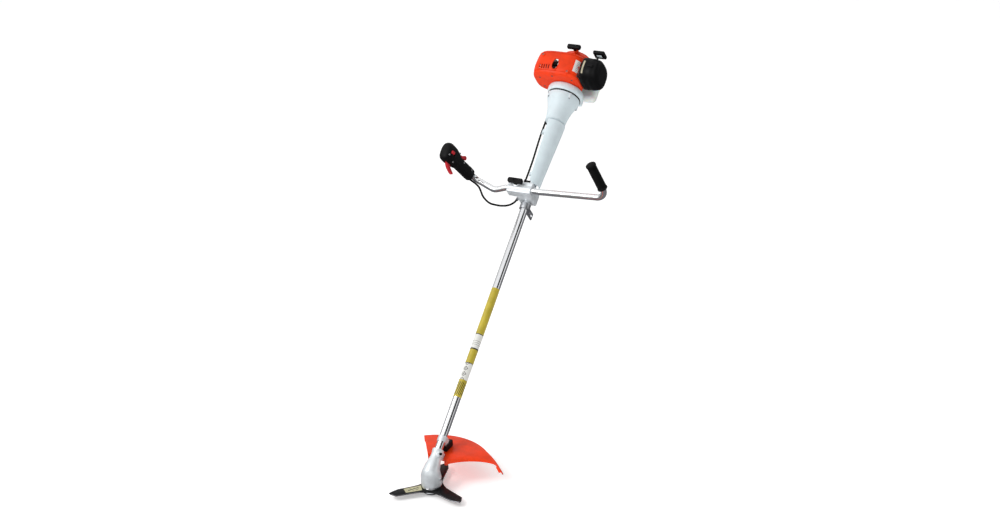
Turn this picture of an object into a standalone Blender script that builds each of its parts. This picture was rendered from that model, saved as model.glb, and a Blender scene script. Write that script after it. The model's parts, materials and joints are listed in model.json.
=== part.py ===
"""Petrol brush cutter: bull-horn handlebar, three-armed brush knife, orange guard, two-stroke engine.

Units are metres, +Z is up. The origin is the lower end of the cutting spindle, +Z runs up the spindle and
+Y points from the blade towards the engine. Almost everything rides on the drive tube, so it is modelled in
the tube frame: x is the operator's left, y runs up the tube from the point where the spindle's and the
tube's axes cross, and z is square to the tube, away from the ground.
"""

import math

import bmesh
import bpy
from mathutils import Matrix, Vector

MM = 0.001

# Driving dimensions
TUBE_ANGLE = math.radians(35)  # the tube's rise above the blade's plane
AXES_CROSS_HEIGHT = 78 * MM  # spindle end to the point where spindle and tube axes cross
TUBE_RADIUS = 14 * MM
TUBE_WALL = 1.6 * MM
TUBE_START = 40 * MM
TUBE_END = 1454 * MM
SHAFT_RADIUS = 4 * MM
BLADE_RADIUS = 150 * MM
BLADE_THICKNESS = 4 * MM
BLADE_HEIGHT = 18 * MM
BLADE_TURN = math.radians(219)
GUARD_RADIUS = 205 * MM
GUARD_CROWN = 228  # in mm from the spindle, where the guard's top has fallen by 10 mm
BAR_RADIUS = 11 * MM
BAR_Y = 1086 * MM
BAR_Z = 55 * MM
LEFT_BEND = Vector((322, 1099, 54))  # corners of the bar in the tube frame, in mm
LEFT_GRIP_END = Vector((278, 1154, 176))
HANDLE_FOOT = Vector((-197, 1101, 62))
HANDLE_AXIS = Vector((-0.246, 0, 0.969)).normalized()
KNOB_AXIS = (-30, 1104, 0)
SCREW_LEAN = Matrix.Rotation(math.radians(52), 3, "Y")  # the gearbox clamp screw leans to the left
CABLE_RADIUS = 3.5 * MM
CABLE_CHANNEL = -18.5  # the cable's place in the throttle handle, in mm from the bar's axis
TRIGGER_PIN = (-16, 167)  # y and z in the handle's frame, in mm
LOCKOUT_PIN = (17, 124)
CRANK_Y = 1590 * MM  # the cylinder's axis along the tube
CRANK_THROW = 15 * MM
PISTON_PIN = 69 * MM  # height of the piston's pin with the piston at the top of its stroke
BORE_RADIUS = 18 * MM
DRUM_HUB = 1466  # in mm along the tube
PLUG_SEAT = (-4, 0, 94)  # from the cylinder's axis, in mm
PLUG_AXIS = (-0.995, 0, 0.1)
CHOKE_PIVOT = (108, 1664, 64)
ROPE_OUTLET = (20, 1668, 0)
GRIP_REST = 82  # where the starter grip sits, from the tube's axis
ROTOR_RADIUS = 20
GEAR_TEETH = 14
PINION_TEETH = 10
CONE_DISTANCE = 24.35 * MM  # outer cone distance of the bevel pair
GEAR_CONE = math.radians(80.25)
PINION_CONE = math.radians(44.75)

ROUND = 18  # facets round a large turned piece
SMALL_ROUND = 9  # facets round a screw or a rod

COLOURS = {  # name: (red, green, blue), roughness, metallic
    "cast_alloy": ((0.80, 0.81, 0.82), 0.45, 0.7),
    "chrome": ((0.85, 0.86, 0.87), 0.15, 1.0),
    "polished_aluminium": ((0.85, 0.86, 0.87), 0.15, 1.0),
    "steel": ((0.55, 0.56, 0.58), 0.35, 1.0),
    "blade_steel": ((0.03, 0.03, 0.035), 0.45, 0.6),
    "orange_plastic": ((0.85, 0.09, 0.02), 0.35, 0.0),
    "black_plastic": ((0.02, 0.02, 0.022), 0.5, 0.0),
    "black_rubber": ((0.015, 0.015, 0.015), 0.8, 0.0),
    "light_plastic": ((0.78, 0.80, 0.82), 0.4, 0.0),
    "tank_plastic": ((0.85, 0.86, 0.84), 0.35, 0.0),
    "red_plastic": ((0.72, 0.05, 0.06), 0.4, 0.0),
    "yellow_vinyl": ((0.75, 0.62, 0.05), 0.45, 0.0),
    "filter_felt": ((0.75, 0.72, 0.62), 0.9, 0.0),
}


# Scene and mesh helpers ------------------------------------------------------------------------------


def clear_scene():
    for old in list(bpy.data.objects):
        bpy.data.objects.remove(old)


def make_materials():
    made = {}
    for name, (colour, roughness, metallic) in COLOURS.items():
        material = bpy.data.materials.new(name)
        material.use_nodes = True
        shader = material.node_tree.nodes["Principled BSDF"]
        shader.inputs["Base Color"].default_value = (*colour, 1)
        shader.inputs["Roughness"].default_value = roughness
        shader.inputs["Metallic"].default_value = metallic
        made[name] = material
    return made


def make_frame(name, parent=None, place=(0, 0, 0), turn=None):
    frame = bpy.data.objects.new(name, None)
    bpy.context.scene.collection.objects.link(frame)
    frame.parent = parent
    frame.location = place
    if turn is not None:
        frame.rotation_euler = turn.to_euler()
    return frame


def add(name, bm, material, parent=None):
    """Turns a bmesh into a named object with its material, smooth where it is round."""
    bmesh.ops.recalc_face_normals(bm, faces=bm.faces)
    mesh = bpy.data.meshes.new(name)
    bm.to_mesh(mesh)
    bm.free()
    mesh.materials.append(material)
    mesh.shade_smooth()
    mesh.set_sharp_from_angle(angle=math.radians(35))
    piece = bpy.data.objects.new(name, mesh)
    bpy.context.scene.collection.objects.link(piece)
    piece.parent = parent
    return piece


def carve(body, cutters=(), unions=()):
    """The bmesh body with the bmeshes in unions added and those in cutters taken away."""
    base = add("carved", body, None)
    helpers = []
    for operation, tools in (("UNION", unions), ("DIFFERENCE", cutters)):
        for tool in tools:
            helper = add("tool", tool, None)
            modifier = base.modifiers.new(operation, "BOOLEAN")
            modifier.operation = operation
            modifier.object = helper
            helpers.append(helper)
    bpy.context.view_layer.update()
    result = bmesh.new()
    result.from_object(base, bpy.context.evaluated_depsgraph_get())
    bmesh.ops.remove_doubles(result, verts=result.verts, dist=1e-6)
    for item in [base, *helpers]:
        bpy.data.objects.remove(item)
    return result


def moved(bm, place=(0, 0, 0), turn=None):
    bm.transform(Matrix.Translation(place) @ (turn.to_4x4() if turn else Matrix()))
    return bm


AXIS_TURNS = {  # turns +Z onto the axis named
    "X": Matrix.Rotation(math.radians(90), 3, "Y"),
    "Y": Matrix.Rotation(math.radians(-90), 3, "X"),
    "Z": Matrix.Identity(3),
}


def towards(direction):
    """The rotation that turns +Z onto a direction."""
    return Vector((0, 0, 1)).rotation_difference(Vector(direction)).to_matrix()


def turned(profile, axis="Z", steps=ROUND):
    """A turned solid. The profile is (place along the axis, radius) in mm, open at the axis or a closed loop."""
    bm = bmesh.new()
    points = [bm.verts.new((radius * MM, 0, along * MM)) for along, radius in profile]
    open_bore = all(radius > 0 for _, radius in profile)
    following = points[1:] + points[:1] if open_bore else points[1:]
    edges = [bm.edges.new(pair) for pair in zip(points, following)]
    bmesh.ops.spin(
        bm, geom=[*points, *edges], cent=(0, 0, 0), axis=(0, 0, 1), angle=2 * math.pi, steps=steps, use_merge=True
    )
    bmesh.ops.remove_doubles(bm, verts=bm.verts, dist=1e-6)
    return moved(bm, turn=AXIS_TURNS[axis])


def rod(radius, low, high, axis="Z", steps=SMALL_ROUND, place=(0, 0, 0)):
    """A plain cylinder between two places along an axis, in mm."""
    return moved(turned([(low, 0), (low, radius), (high, radius), (high, 0)], axis, steps), Vector(place) * MM)


def ring(inner, outer, low, high, axis="Z", steps=ROUND, place=(0, 0, 0)):
    profile = [(low, inner), (low, outer), (high, outer), (high, inner)]
    return moved(turned(profile, axis, steps), Vector(place) * MM)


def block(low, high, bevel=0.0, segments=1):
    """A box between two corners in mm, its edges bevelled."""
    bm = bmesh.new()
    low, high = Vector(low) * MM, Vector(high) * MM
    size = high - low
    bmesh.ops.create_cube(bm, size=1)
    bm.transform(Matrix.Translation((low + high) / 2) @ Matrix.Diagonal((*size, 1)))
    if bevel:
        bmesh.ops.bevel(
            bm, geom=list(bm.edges), offset=bevel * MM, segments=segments, profile=0.5, affect="EDGES"
        )
    return bm


def prism(outline, low, high):
    """A flat outline in x and y, in mm, given a thickness from low to high."""
    bm = bmesh.new()
    face = bm.faces.new([bm.verts.new((x * MM, y * MM, low * MM)) for x, y in outline])
    moved_part = bmesh.ops.extrude_face_region(bm, geom=[face])["geom"]
    bmesh.ops.translate(
        bm, verts=[v for v in moved_part if isinstance(v, bmesh.types.BMVert)], vec=(0, 0, (high - low) * MM)
    )
    return bm


def loft(sections, closed_ring=False):
    """Skins loops of equally many points, capping the ends unless the loops themselves close into a ring."""
    bm = bmesh.new()
    loops = [[bm.verts.new(point) for point in section] for section in sections]
    count = len(loops[0])
    pairs = list(zip(loops, loops[1:]))
    if closed_ring:
        pairs.append((loops[-1], loops[0]))
    for one, two in pairs:
        for i in range(count):
            j = (i + 1) % count
            bm.faces.new((one[i], one[j], two[j], two[i]))
    if not closed_ring:
        bm.faces.new(loops[0])
        bm.faces.new(list(reversed(loops[-1])))
    return bm


def oval(centre_x, centre_z, half_x, half_z, y, power=2.0, steps=ROUND):
    """A rounded loop in a plane square to y, in mm. Power 2 is an ellipse, and more is squarer."""
    points = []
    for i in range(steps):
        angle = 2 * math.pi * i / steps
        c, s = math.cos(angle), math.sin(angle)
        x = math.copysign(abs(c) ** (2 / power), c) * half_x
        z = math.copysign(abs(s) ** (2 / power), s) * half_z
        points.append(Vector((centre_x + x, y, centre_z + z)) * MM)
    return points


def rounded_path(corners, radius, step=math.radians(20)):
    """A path through corners in mm, each inner corner rounded by an arc, with a point every step of turn."""
    corners = [Vector(c) for c in corners]
    path = [corners[0]]
    for before, corner, after in zip(corners, corners[1:], corners[2:]):
        way_in = (before - corner).normalized()
        way_out = (after - corner).normalized()
        half = way_in.angle(way_out) / 2
        reach = min(radius / math.tan(half), 0.45 * min((before - corner).length, (after - corner).length))
        centre = corner + (way_in + way_out).normalized() * reach / math.cos(half)
        start, end = corner + way_in * reach - centre, corner + way_out * reach - centre
        steps = max(1, round((math.pi - 2 * half) / step))
        for i in range(steps + 1):
            path.append(centre + start.slerp(end, i / steps) * start.length)
    path.append(corners[-1])
    return path


def smooth_path(points, spacing):
    """Points a given distance apart, all in mm, on a Catmull-Rom curve through the given points."""
    points = [Vector(p) for p in points]
    ends = [2 * points[0] - points[1], *points, 2 * points[-1] - points[-2]]
    fine = []
    for a, b, c, d in zip(ends, ends[1:], ends[2:], ends[3:]):
        for i in range(24):
            t = i / 24
            fine.append(
                0.5 * ((2 * b) + (c - a) * t + (2 * a - 5 * b + 4 * c - d) * t**2 + (3 * b - a - 3 * c + d) * t**3)
            )
    fine.append(points[-1])
    even, travelled = [fine[0]], 0.0
    for one, two in zip(fine, fine[1:]):
        travelled += (two - one).length
        if travelled >= spacing:
            even.append(two)
            travelled = 0.0
    if travelled > spacing / 2:
        even.append(fine[-1])
    else:
        even[-1] = fine[-1]
    return even


def swept(path, radius, inner=0.0, steps=SMALL_ROUND):
    """A bar, or a tube where inner is given, along a path. All in mm."""
    path = [Vector(p) for p in path]
    side = Vector((0, 1, 0))
    loops, hollows = [], []
    for i, point in enumerate(path):
        ahead = (path[min(i + 1, len(path) - 1)] - path[max(i - 1, 0)]).normalized()
        side = (side - ahead * side.dot(ahead)).normalized()
        other = ahead.cross(side)
        angles = [2 * math.pi * k / steps for k in range(steps)]
        ways = [side * math.cos(angle) + other * math.sin(angle) for angle in angles]
        loops.append([(point + way * radius) * MM for way in ways])
        hollows.append([(point + way * inner) * MM for way in ways])
    if inner:
        return loft(loops + hollows[::-1], closed_ring=True)
    return loft(loops)


def screw(place, direction, length, radius=2.5, head=4.5):
    """A socket-head screw in mm: its head's underside sits at place and the shank runs along direction."""
    body = turned(
        [(length, 0), (length, radius), (0, radius), (0, head), (-4, head), (-4, 2), (-2, 2), (-2, 0)],
        steps=SMALL_ROUND,
    )
    return moved(body, Vector(place) * MM, towards(direction))


# Cutting head, in the world frame --------------------------------------------------------------------


def bevel_wheel(teeth, cone, hub_radius, hub_back, bore, tooth_at):
    """A straight bevel wheel whose cone's tip is the origin and whose axis is +Z, pointing at its back.

    Every loop has four points a tooth: root, tip, tip, root. tooth_at is the angle of one tooth's middle.
    """
    module = 2 * CONE_DISTANCE * math.sin(cone) / teeth
    tip_angle = cone + 0.6 * module / CONE_DISTANCE
    root_angle = cone - 0.8 * module / CONE_DISTANCE
    pitch = 2 * math.pi / teeth
    shares = ((-0.27, root_angle), (-0.15, tip_angle), (0.15, tip_angle), (0.27, root_angle))
    turns = [(tooth_at + (i + share) * pitch, slope) for i in range(teeth) for share, slope in shares]

    def toothed(distance):
        return [
            Vector((math.sin(s) * math.cos(a), math.sin(s) * math.sin(a), math.cos(s))) * distance for a, s in turns
        ]

    def circle(radius, height):
        return [Vector((radius * math.cos(a), radius * math.sin(a), height)) for a, _ in turns]

    inner_distance = CONE_DISTANCE * 0.68
    front = inner_distance * math.cos(root_angle)
    sections = [
        circle(bore, front),
        toothed(inner_distance),
        toothed(CONE_DISTANCE),
        circle(hub_radius, hub_back),
        circle(bore, hub_back),
    ]
    return loft(sections, closed_ring=True)


def make_output_shaft(mats):
    profile = [(0, 0), (0, 5), (13, 5), (13, 7), (31, 7), (31, 8.5), (71, 8.5), (71, 0)]
    add("output_shaft", turned(profile), mats["steel"])


def make_bevel_gear(mats):
    """The cone's tip is where the axes cross, so the wheel hangs below it with its teeth up."""
    wheel = bevel_wheel(GEAR_TEETH, GEAR_CONE, 17 * MM, 16 * MM, 8.8 * MM, math.radians(-90))
    flip = Matrix.Rotation(math.pi, 3, "X")
    add("bevel_gear", moved(wheel, (0, 0, AXES_CROSS_HEIGHT), flip), mats["steel"])


def make_thrust_plate(mats):
    profile = [(30.2, 7.3), (30.2, 13), (27, 15), (27, 29), (30.4, 32), (30.4, 35), (24, 35), (22.3, 33), (22.3, 7.3)]
    add("thrust_plate", turned(profile), mats["chrome"])


def make_spindle_bearing(mats):
    add("spindle_bearing", ring(8.8, 19.7, 44, 56), mats["steel"])


def blade_outline():
    """One arm reaches out, its leading edge swept back to a point, and the next begins a third of a turn on."""
    outline = []
    for arm in range(3):
        turn = BLADE_TURN + arm * 2 * math.pi / 3
        reach = BLADE_RADIUS / MM
        shape = [(30, -27), (62, -23), (118, -21), (reach, -8), (132, 19), (70, 23), (34, 27)]
        for x, y in shape:
            outline.append((x * math.cos(turn) - y * math.sin(turn), x * math.sin(turn) + y * math.cos(turn)))
    return outline


def make_brush_knife(mats):
    low = BLADE_HEIGHT / MM
    knife = carve(
        prism(blade_outline(), low, low + BLADE_THICKNESS / MM), cutters=[rod(10, low - 5, low + 10, steps=ROUND)]
    )
    add("brush_knife", knife, mats["blade_steel"])


def make_rider_plate(mats):
    profile = [(17.7, 10.3), (17.7, 39), (15, 41), (4, 31), (1.5, 27), (1.5, 20), (4, 18), (11, 15.5), (11, 10.3)]
    add("rider_plate", turned(profile), mats["steel"])


def make_spindle_nut(mats):
    flange, thread = rod(13, 8.4, 10.7, steps=ROUND), rod(5.3, -10, 30, steps=ROUND)
    nut = carve(rod(11, 2.5, 10, steps=6), unions=[flange], cutters=[thread])
    add("spindle_nut", nut, mats["steel"])


def make_gearbox_housing(mats):
    """A pear-shaped casting with one bore for the spindle's stack and one for the tube."""
    across = Matrix.Rotation(TUBE_ANGLE, 3, "X")
    place = (0, 0, AXES_CROSS_HEIGHT)
    belly = turned([(31.2, 0), (31.2, 33), (34, 36), (46, 36.5), (62, 35), (82, 31), (96, 23), (104, 12), (106, 0)])
    neck = turned([(0, 0), (0, 29), (22, 27), (48, 20.5), (60, 19), (82, 19), (84, 18), (84, 0)], "Y")
    lugs = [block((-20, 54, -22), (20, 80, -6), 3), moved(rod(9, 12, 27), (0, 64 * MM, 0), SCREW_LEAN)]
    stack_bore = turned([(20, 0), (20, 20), (57.5, 20), (57.5, 27.5), (79, 27.5), (79, 0)])
    tube_bore = turned([(8, 0), (8, 19.8), (26, 19.8), (26, 14.3), (110, 14.3), (110, 0)], "Y")
    screw_hole = moved(rod(2.8, 16, 50), (0, 64 * MM, 0), SCREW_LEAN)
    add(
        "gearbox_housing",
        carve(
            belly,
            unions=[moved(part, place, across) for part in (neck, *lugs)],
            cutters=[stack_bore, *(moved(part, place, across) for part in (tube_bore, screw_hole))],
        ),
        mats["cast_alloy"],
    )


# Guard, in the world frame ---------------------------------------------------------------------------


def guard_inner(angle):
    """How far the guard's inner edge is from the spindle, in mm, at an angle in degrees."""
    if angle > 70:
        return 81
    share = min(1.0, max(0.0, (angle - 24) / 28))
    return 236 - 172 * share**2 * (3 - 2 * share)


def guard_grid():
    """Rows of points from the guard's right tip to its left end; each runs up its inner lip, outwards, and down."""
    rows = []
    for angle in (20, 25, 30, 35, 40, 45, 50, 55, 60, 65, 70, 74, 80, 90, 100, 110, 117, 123):
        share = (angle - 20) / 103
        tip = max(0.0, 1 - share / 0.3)
        outer = GUARD_RADIUS / MM + 37 * tip**1.5 + 10 * share**2
        inner = min(guard_inner(angle), outer - 6)
        drop = 18 * tip**1.6
        lip = 2 + 26 * min(1.0, share / 0.4) ** 2
        rim = 10 + 18 * min(1.0, share / 0.4)
        row = [(inner, 104 - lip - 10 * (inner / GUARD_CROWN) ** 2 - drop)]
        for k in range(4):
            out = inner + (outer - inner) * k / 3
            row.append((out, 104 - 10 * (out / GUARD_CROWN) ** 2 - drop))
        top = row[-1][1]
        row += [(outer + 5, top - 7), (outer + 6, top - rim)]
        turn = math.radians(angle)
        rows.append([Vector((r * math.cos(turn), r * math.sin(turn), h)) * MM for r, h in row])
    return rows


def shell(rows, thickness):
    """A sheet through a grid of points, thickened on its inner side, as one closed body."""
    bm = bmesh.new()
    grid = [[bm.verts.new(p) for p in row] for row in rows]
    for one, two in zip(grid, grid[1:]):
        for i in range(len(one) - 1):
            bm.faces.new((one[i], one[i + 1], two[i + 1], two[i]))
    bm.normal_update()
    inner = [[bm.verts.new(v.co - v.normal * thickness * MM) for v in row] for row in grid]
    for one, two in zip(inner, inner[1:]):
        for i in range(len(one) - 1):
            bm.faces.new((one[i], two[i], two[i + 1], one[i + 1]))
    rim = [*grid[0], *[row[-1] for row in grid[1:]], *grid[-1][-2::-1], *[row[0] for row in grid[-2:0:-1]]]
    back = [*inner[0], *[row[-1] for row in inner[1:]], *inner[-1][-2::-1], *[row[0] for row in inner[-2:0:-1]]]
    for i in range(len(rim)):
        j = (i + 1) % len(rim)
        bm.faces.new((rim[i], back[i], back[j], rim[j]))
    return bm


def make_blade_guard(mats):
    add("blade_guard", shell(guard_grid(), 3), mats["orange_plastic"])


def make_guard_bracket(mats):
    """A cast strap round the tube whose web stands on a level foot, which carries the guard."""
    across = Matrix.Rotation(TUBE_ANGLE, 3, "X")
    place = (0, 0, AXES_CROSS_HEIGHT)
    strap = moved(rod(16.8, 113, 134, "Y", ROUND), place, across)
    web = moved(block((-12, 110, -30), (12, 138, -8), 2), place, across)
    bore = moved(rod(TUBE_RADIUS / MM + 0.3, 60, 190, "Y", ROUND), place, across)
    foot = block((-24, 97, 102.3), (16, 146, 126), 3)
    add("guard_bracket", carve(strap, unions=[web, foot], cutters=[bore]), mats["cast_alloy"])


# Tube and shaft --------------------------------------------------------------------------------------


def make_drive_tube(mats, tube):
    wall = ring((TUBE_RADIUS - TUBE_WALL) / MM, TUBE_RADIUS / MM, TUBE_START / MM, TUBE_END / MM, "Y")
    add("drive_tube", wall, mats["polished_aluminium"], tube)


def make_drive_shaft(mats, tube):
    thin = SHAFT_RADIUS / MM
    profile = [(14, 0), (14, 4.2), (25, 4.2), (25, 6), (37, 6), (37, thin), (DRUM_HUB + 8, thin), (DRUM_HUB + 8, 0)]
    add("drive_shaft", turned(profile, "Y", SMALL_ROUND), mats["steel"], tube)


def make_shaft_liner(mats, tube):
    """One plastic liner whose collars keep the shaft in the middle of the tube."""
    outside = [(60, 5.6)]
    for y in (90, 530, 970, 1410):
        outside += [(y - 8, 5.6), (y - 8, 12.1), (y + 8, 12.1), (y + 8, 5.6)]
    profile = [(60, 4.4), *outside, (1440, 5.6), (1440, 4.4)]
    add("shaft_liner", turned(profile, "Y", SMALL_ROUND), mats["black_plastic"], tube)


def make_bevel_pinion(mats, tube):
    """Its teeth face the crossing point, and a gap between two teeth faces the gear below."""
    gap_down = math.radians(90) + math.pi / PINION_TEETH
    wheel = bevel_wheel(PINION_TEETH, PINION_CONE, 10 * MM, 24.5 * MM, 4.5 * MM, gap_down)
    add("bevel_pinion", moved(wheel, turn=AXIS_TURNS["Y"]), mats["steel"], tube)


def make_pinion_bearing(mats, tube):
    add("pinion_bearing", ring(6.3, 13.9, 27, 37, "Y"), mats["steel"], tube)


def make_tube_label(mats, tube):
    add("tube_label", ring(14.3, 14.8, 283, 711, "Y"), mats["yellow_vinyl"], tube)


def make_gearbox_clamp_screw(mats, tube):
    way = SCREW_LEAN @ Vector((0, 0, 1))
    place = way * 27.3 + Vector((0, 64, 0))
    add("gearbox_clamp_screw", screw(place, -way, 9.5), mats["black_plastic"], tube)


# Handlebar -------------------------------------------------------------------------------------------


def make_handle_support_lower(mats, tube):
    body = block((-30, 1066, -25), (30, 1110, -0.2), 3)
    bore = rod(14.3, 1000, 1200, "Y", ROUND)
    add("handle_support_lower", carve(body, cutters=[bore]), mats["cast_alloy"], tube)


def make_handle_support_upper(mats, tube):
    bridge = block((-62, 1068, 28), (34, 1113, BAR_Z / MM - 0.2), 3)
    foot = block((-30, 1066, 0.2), (30, 1110, 34), 3)
    cuts = [rod(14.3, 1000, 1200, "Y", ROUND), bar_bore(), rod(4.3, 20, 90, place=KNOB_AXIS)]
    add("handle_support_upper", carve(bridge, unions=[foot], cutters=cuts), mats["cast_alloy"], tube)


def bar_bore():
    return rod(BAR_RADIUS / MM + 0.3, -100, 100, "X", ROUND, (0, BAR_Y / MM, BAR_Z / MM))


def make_handle_clamp_cap(mats, tube):
    cap = block((-62, 1068, BAR_Z / MM + 0.2), (34, 1113, 72), 4)
    cap = carve(cap, cutters=[bar_bore(), rod(4.3, 20, 90, place=KNOB_AXIS)])
    add("handle_clamp_cap", cap, mats["cast_alloy"], tube)


def make_wing_screw(mats, tube):
    """Its origin is on its thread's axis."""
    shank = rod(4, -36, 3)
    hub = rod(11, 0.5, 9, steps=ROUND)
    wings = block((-29, -8, 4), (29, 8, 19), 4, 2)
    frame = make_frame("wing_screw_axis", tube, Vector((KNOB_AXIS[0], KNOB_AXIS[1], 72)) * MM)
    add("wing_screw", carve(wings, unions=[hub, shank]), mats["black_plastic"], frame)


def bar_path():
    corners = [
        LEFT_GRIP_END, LEFT_BEND, (62, 1086, 55), (-70, 1086, 55), (-110, 1070, 56), HANDLE_FOOT,
        HANDLE_FOOT + HANDLE_AXIS * 108,
    ]
    return rounded_path(corners, 30)


def make_handlebar(mats, bar):
    tube_shape = swept(bar_path(), BAR_RADIUS / MM, BAR_RADIUS / MM - 1.6, 10)
    add("handlebar", moved(tube_shape, (0, -BAR_Y, -BAR_Z)), mats["chrome"], bar)


def make_left_grip(mats, bar):
    """A ribbed rubber sleeve with a rounded bulb at its closed end."""
    way = (LEFT_GRIP_END - LEFT_BEND).normalized()
    length = (LEFT_GRIP_END - LEFT_BEND).length
    start, reach = 41, length + 10
    outside = [(start, BAR_RADIUS / MM + 0.8), (start, 17), (start + 4, 18.5), (start + 9, 16)]
    for i in range(4):
        low = start + 14 + 19 * i
        outside += [(low, 16), (low + 3, 17.2), (low + 9, 17.2), (low + 12, 16)]
    outside += [(reach - 12, 19), (reach - 5, 19), (reach, 13), (reach, 0)]
    bore = [(length + 1, 0), (length + 1, BAR_RADIUS / MM + 0.8)]
    grip = turned([*bore, *outside], steps=12)
    place = (LEFT_BEND - Vector((0, BAR_Y, BAR_Z)) / MM) * MM
    add("left_grip", moved(grip, place, towards(way)), mats["black_rubber"], bar)


# Throttle handle, in its own frame: z runs up the handle, and y is the tube's -------------------------

HANDLE_SECTIONS = [  # height, half width, half depth, middle of the depth
    (28, 15.5, 21, -4),
    (34, 17, 22.5, -4),
    (112, 17, 23, -4),
    (130, 19, 29, -3),
    (150, 22, 34, -2),
    (180, 24, 36, -2),
    (196, 22, 34, -2),
    (203, 15, 26, -2),
]
CAVITY_SECTIONS = [(113, 14, 18, -3), (132, 16, 26, -3), (150, 19, 31, -2), (180, 21, 33, -2), (196, 19, 30, -2)]


def handle_loft(sections, grow=0.0):
    loops = []
    for height, half_x, half_y, middle in sections:
        loop = oval(0, 0, half_x + grow, half_y + grow, 0, 2.6, 20)
        loops.append([Vector((p.x, p.z + middle * MM, height * MM)) for p in loop])
    return loft(loops)


def make_throttle_housing(mats, handle, name, side):
    """One half of the handle's shell, split down the middle."""
    half = block((-60, -80, 0), (0.15, 80, 260)) if side > 0 else block((-0.15, -80, 0), (60, 80, 260))
    cuts = [
        handle_loft(CAVITY_SECTIONS),
        rod(BAR_RADIUS / MM + 0.3, 0, 120, steps=16),
        rod(5, 0, 130, steps=10, place=(0, CABLE_CHANNEL, 0)),
        block((-6.3, -70, 126), (6.3, -12, 182)),
        block((-5, 14, 80), (5, 60, 134)),
        block((15, -9, 166), (40, 5, 190)),
        half,
    ]
    add(name, carve(handle_loft(HANDLE_SECTIONS), cutters=cuts), mats["black_plastic"], handle)


def lever(outline, half_width, pin):
    """A flat lever drawn in the handle's y and z, and the pin it turns on."""
    turn = Matrix(((0, 0, 1), (1, 0, 0), (0, 1, 0)))
    plate = moved(prism(outline, -half_width, half_width), turn=turn)
    return carve(plate, unions=[rod(2.6, -pin, pin, "X")])


def make_throttle_trigger(mats, handle):
    """Its origin is on its pin."""
    y, z = TRIGGER_PIN
    outline = [
        (-9, 173), (-24, 177), (-40, 170), (-51, 156), (-57, 139), (-59, 127), (-54, 124), (-49, 132), (-43, 145),
        (-35, 154), (-24, 158), (-9, 160),
    ]
    frame = make_frame("trigger_axis", handle, Vector((0, y, z)) * MM)
    add("throttle_trigger", lever([(a - y, b - z) for a, b in outline], 5.7, 17), mats["red_plastic"], frame)


def make_trigger_lockout(mats, handle):
    """Its origin is on its pin."""
    y, z = LOCKOUT_PIN
    outline = [
        (12, 130), (22, 130), (27, 118), (31, 104), (37, 96), (39, 88), (34, 82), (25, 84), (22, 96), (19, 110),
        (12, 118),
    ]
    frame = make_frame("lockout_axis", handle, Vector((0, y, z)) * MM)
    add("trigger_lockout", lever([(a - y, b - z) for a, b in outline], 4.4, 4.8), mats["red_plastic"], frame)


def make_stop_switch(mats, handle):
    frame = make_frame("stop_slide", handle, Vector((23, -2, 181)) * MM)
    add("stop_switch", block((-5, -5, -7), (6, 5, 7), 1.2), mats["red_plastic"], frame)


def cable_route(handle_turn):
    """From the trigger down the handle, a free loop to the clamp, up the tube and round under the crankcase."""
    inside = [handle_turn @ Vector((0, CABLE_CHANNEL, z)) + HANDLE_FOOT for z in (132, 80, 30)]
    outside = [
        (-181, 1079, 48), (-158, 1050, 32), (-130, 1031, 27), (-104, 1027, 24), (-78, 1028, 22), (-56, 1036, 18),
        (-42, 1052, 12), (-36, 1074, 6), (-35, 1110, 3), (-34, 1160, 0), (-34, 1240, 0), (-38, 1330, 0),
        (-41, 1390, -6), (-48, 1435, -20), (-51, 1466, -42), (-57, 1490, -54), (-61, 1520, -62), (-58, 1545, -52),
        (-42, 1556, -45), (-12, 1560, -44.5), (20, 1560, -44), (40, 1560, -32), (47, 1562, -8), (52, 1563, 20),
        (54, 1564, 34),
    ]
    return smooth_path([*inside, *outside], 18)


def make_throttle_cable(mats, tube, handle_turn):
    add("throttle_cable", swept(cable_route(handle_turn), CABLE_RADIUS / MM, steps=6), mats["black_rubber"], tube)


# Hip pad and harness point ---------------------------------------------------------------------------


def make_hip_pad(mats, tube):
    """A long shield over the tube's upper left side that widens towards the engine, on two saddles."""
    rows = []
    count = 7
    for i in range(count + 1):
        share = i / count
        y = 1132 + 262 * share
        radius = 25 + 13 * share
        low, high = -62 - 10 * share, 104 + 2 * share
        start = math.sin(math.pi / 2 * min(1.0, share / 0.12 + 0.35))
        row = []
        for k in range(8):
            turn = math.radians((low + high) / 2 + (high - low) / 2 * start * (k / 3.5 - 1))
            row.append(Vector((radius * math.cos(turn), y, radius * math.sin(turn))) * MM)
        rows.append(row)
    saddles = []
    for y in (1175, 1350):
        saddle = ring(14.3, 26 + 13 * (y - 1132) / 262, y - 7, y + 7, "Y")
        wedge = block((-60, y - 20, -60), (-6, y + 20, 8))
        saddles.append(carve(saddle, cutters=[wedge]))
    add("hip_pad", carve(shell(rows, 3), unions=saddles), mats["light_plastic"], tube)


def make_carrying_clamp(mats, tube):
    """A split ring on the tube with a plate that the harness hooks into."""
    collar = ring(14.3, 19, 1036, 1060, "Y")
    plate = block((-3, 1035, -78), (3, 1061, -16), 2)
    eye = rod(8, -20, 20, "X", SMALL_ROUND, (0, 1048, -64))
    add("carrying_clamp", carve(collar, unions=[plate], cutters=[eye]), mats["steel"], tube)


# Clutch, fan and crankcase ---------------------------------------------------------------------------


def make_clutch_housing(mats, tube):
    """A bell whose neck grips the tube and whose mouth is the engine's flange."""
    outside = [(1398, 14.3), (1398, 34), (1404, 38), (1425, 40), (1452, 45), (1474, 52), (1492, 58), (1507, 60)]
    inside = [(1507, 54), (1490, 52), (1472, 46), (1458, 38), (1456, 14.3)]
    add("clutch_housing", turned([*outside, *inside], "Y", 20), mats["light_plastic"], tube)


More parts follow.
